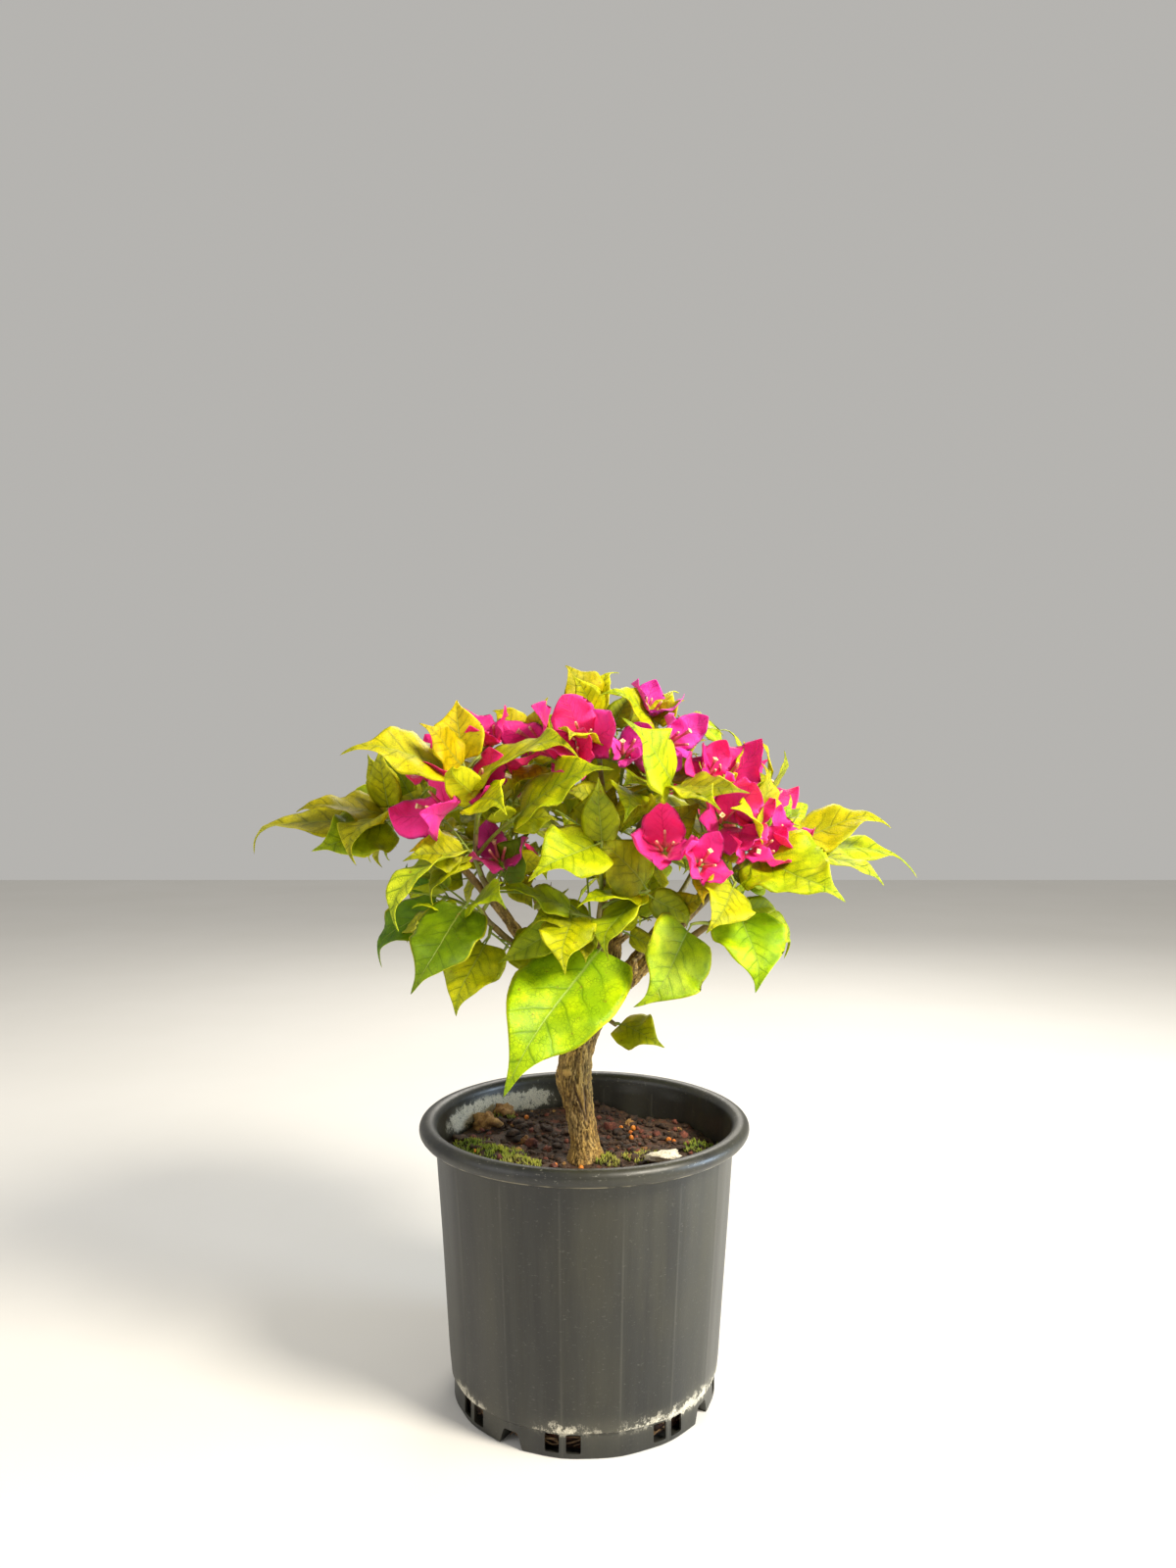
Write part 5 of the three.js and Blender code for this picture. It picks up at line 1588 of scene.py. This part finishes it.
BRACT_TINTS = {
    "bright": ((252, 36, 136), (206, 10, 98)),
    "deep": ((234, 18, 118), (176, 4, 84)),
    "violet": ((226, 52, 166), (172, 18, 116)),
    "dull": ((190, 30, 122), (134, 14, 82)),
}
bract_piles = {tint: Pile() for tint in BRACT_TINTS}
for number, (blade, tint) in enumerate(bract_blades):
    between = between_from(1300 + number)
    blade.width *= between(0.95, 1.12)
    blade.fold, blade.twist, blade.bend = between(-16, 34), between(-45, 45), blade.bend * between(0.3, 1.5)
    wave, cup = between(0.08, 0.14) * blade.width, between(-0.1, 0.25)
    add_blade(bract_piles[tint], blade, BRACT_OUTLINE, *BRACT_GRID, BRACT_THICK, wave, 0.07, cup, 0.4,
              1500 + number)
for tint, pile in bract_piles.items():
    skin = thin_finish("bract_" + tint, bract_surface(*BRACT_TINTS[tint]), (1.0, 0.2, 0.5), 0.3,
                       **{"Sheen Weight": 0.08})
    pile.piece("bracts_" + tint, skin, "foliage", MASSES)


# ---- The flowers ------------------------------------------------------------------------------------------
# One slender tube on each bract's foot, swollen below and pinched in the middle, reddish outside. Most are
# still closed buds, and the others have opened a small cream star at the mouth.
def flower_surface(tree):
    place = object_place(tree)
    mouth = attribute(tree, "mouth")
    tone = patch(tree, place, 300, 0.5, 0.2)
    base = mixed(tree, tone["Mask"], colour(176, 60, 88), colour(196, 104, 92))
    base = mixed(tree, ranged(tree, mouth, 0.3, 0.8), base, colour(234, 208, 150))
    return base, ranged(tree, tone["Grain"], 0.0, 1.0, 0.5, 0.65), tone["Grain"], 0.1 * MM


OPEN_SHARE = 0.18
STAR = ((2.0, 0.5, 0.68), (1.8, 0.75, 0.68), (0.7, 0.1, 1))
FLOWER_PROFILE = ([0, 0.1, 0.3, 0.5, 0.62, 0.85, 1], [0.5, 1.0, 1.25, 0.8, 0.75, 1.1, 1.35])
flowers = Pile()
for number, (root, axis, away, length) in enumerate(bract_heads):
    between = between_from(2100 + number)
    opened = between(0, 1) < OPEN_SHARE
    tall = length * between(0.42, 0.55)
    lean = unit(axis + away * 0.32)
    side = unit(np.cross(lean, away))
    other = np.cross(lean, side)
    foot = root + away * 1.3 - axis * 0.5
    sides, steps = 8, 9
    corners, mouth = [foot - lean * 0.3], [0.0]
    for i in range(steps + 1):
        share = i / steps
        radius = float(np.interp(share, *FLOWER_PROFILE)) * (1 if opened or share < 0.8 else 1.6 - share)
        corners += ring_of(foot + lean * tall * share, side, other, [radius] * sides)
        mouth += [0.0 if share < 0.85 else 0.5] * sides
    for out, up, between_points in STAR if opened else ():
        corners += ring_of(foot + lean * (tall + up), side, other, [out, out * between_points] * (sides // 2))
        mouth += [1.0] * sides
        steps += 1
    corners.append(foot + lean * (tall + (-1.2 if opened else 0.8)))
    mouth.append(0.8)
    flowers.add(corners, tube_faces(sides, steps), mouth=np.array(mouth))
flowers.piece("flowers", finish_of("flower", flower_surface), "foliage", MASSES)


# ---- The studio -------------------------------------------------------------------------------------------
# A pale matt floor under an even pale sky, with a broad warm key from the upper right, a weaker fill from the
# left, a light from behind and a cool one low at the right. The camera looks level from above the pot.
def floor_surface(tree):
    place = object_place(tree)
    tone = patch(tree, place, 3, 0.5, 0.3)
    base = mixed(tree, tone["Mask"], colour(222, 220, 215), colour(226, 224, 220))
    return base, ranged(tree, tone["Grain"], 0.0, 1.0, 0.8, 0.9), tone["Grain"], 0.02 * MM


floor_shape = bmesh.new()
bmesh.ops.create_grid(floor_shape, x_segments=2, y_segments=2, size=3)
floor_piece = piece_from(floor_shape, "floor")
floor_piece.data.materials.append(finish_of("floor", floor_surface))
floor_piece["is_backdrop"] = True


def soft_light(name, size, power, tint, at, towards):
    lamp = bpy.data.lights.new(name, "AREA")
    lamp.shape = "DISK"
    lamp.size = size
    lamp.energy = power
    lamp.color = tint
    made = bpy.data.objects.new(name, lamp)
    made.location = at
    made.rotation_euler = (Vector(towards) - Vector(at)).to_track_quat("-Z", "Y").to_euler()
    bpy.context.scene.collection.objects.link(made)


soft_light("key", 0.5, 43, (1.0, 0.93, 0.8), (0.95, -0.7, 1.3), (0, 0, 0.25))
soft_light("fill", 1.2, 6, (0.97, 0.97, 1.0), (-1.2, -0.8, 0.7), (0, 0, 0.22))
soft_light("rim", 0.8, 10, (1.0, 0.95, 0.86), (0.2, 1.2, 1.1), (0, 0, 0.3))
soft_light("side", 0.5, 12, (0.66, 0.82, 1.0), (1.2, -0.15, 0.3), (0, 0, 0.1))
sky = bpy.data.worlds.new("studio")
sky.use_nodes = True
sky.node_tree.nodes["Background"].inputs["Color"].default_value = (0.93, 0.91, 0.87, 1)
sky.node_tree.nodes["Background"].inputs["Strength"].default_value = 0.5
bpy.context.scene.world = sky
bpy.context.scene.view_settings.view_transform = "Standard"

camera_data = bpy.data.cameras.new("camera")
camera_data.sensor_width = 36
camera_data.lens = 25.875
camera = bpy.data.objects.new("camera", camera_data)
camera.location = (0.00225, -0.687, 0.379)
camera.rotation_euler = (radians(89), 0, 0)
bpy.context.scene.collection.objects.link(camera)
bpy.context.scene.camera = camera

low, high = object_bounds()
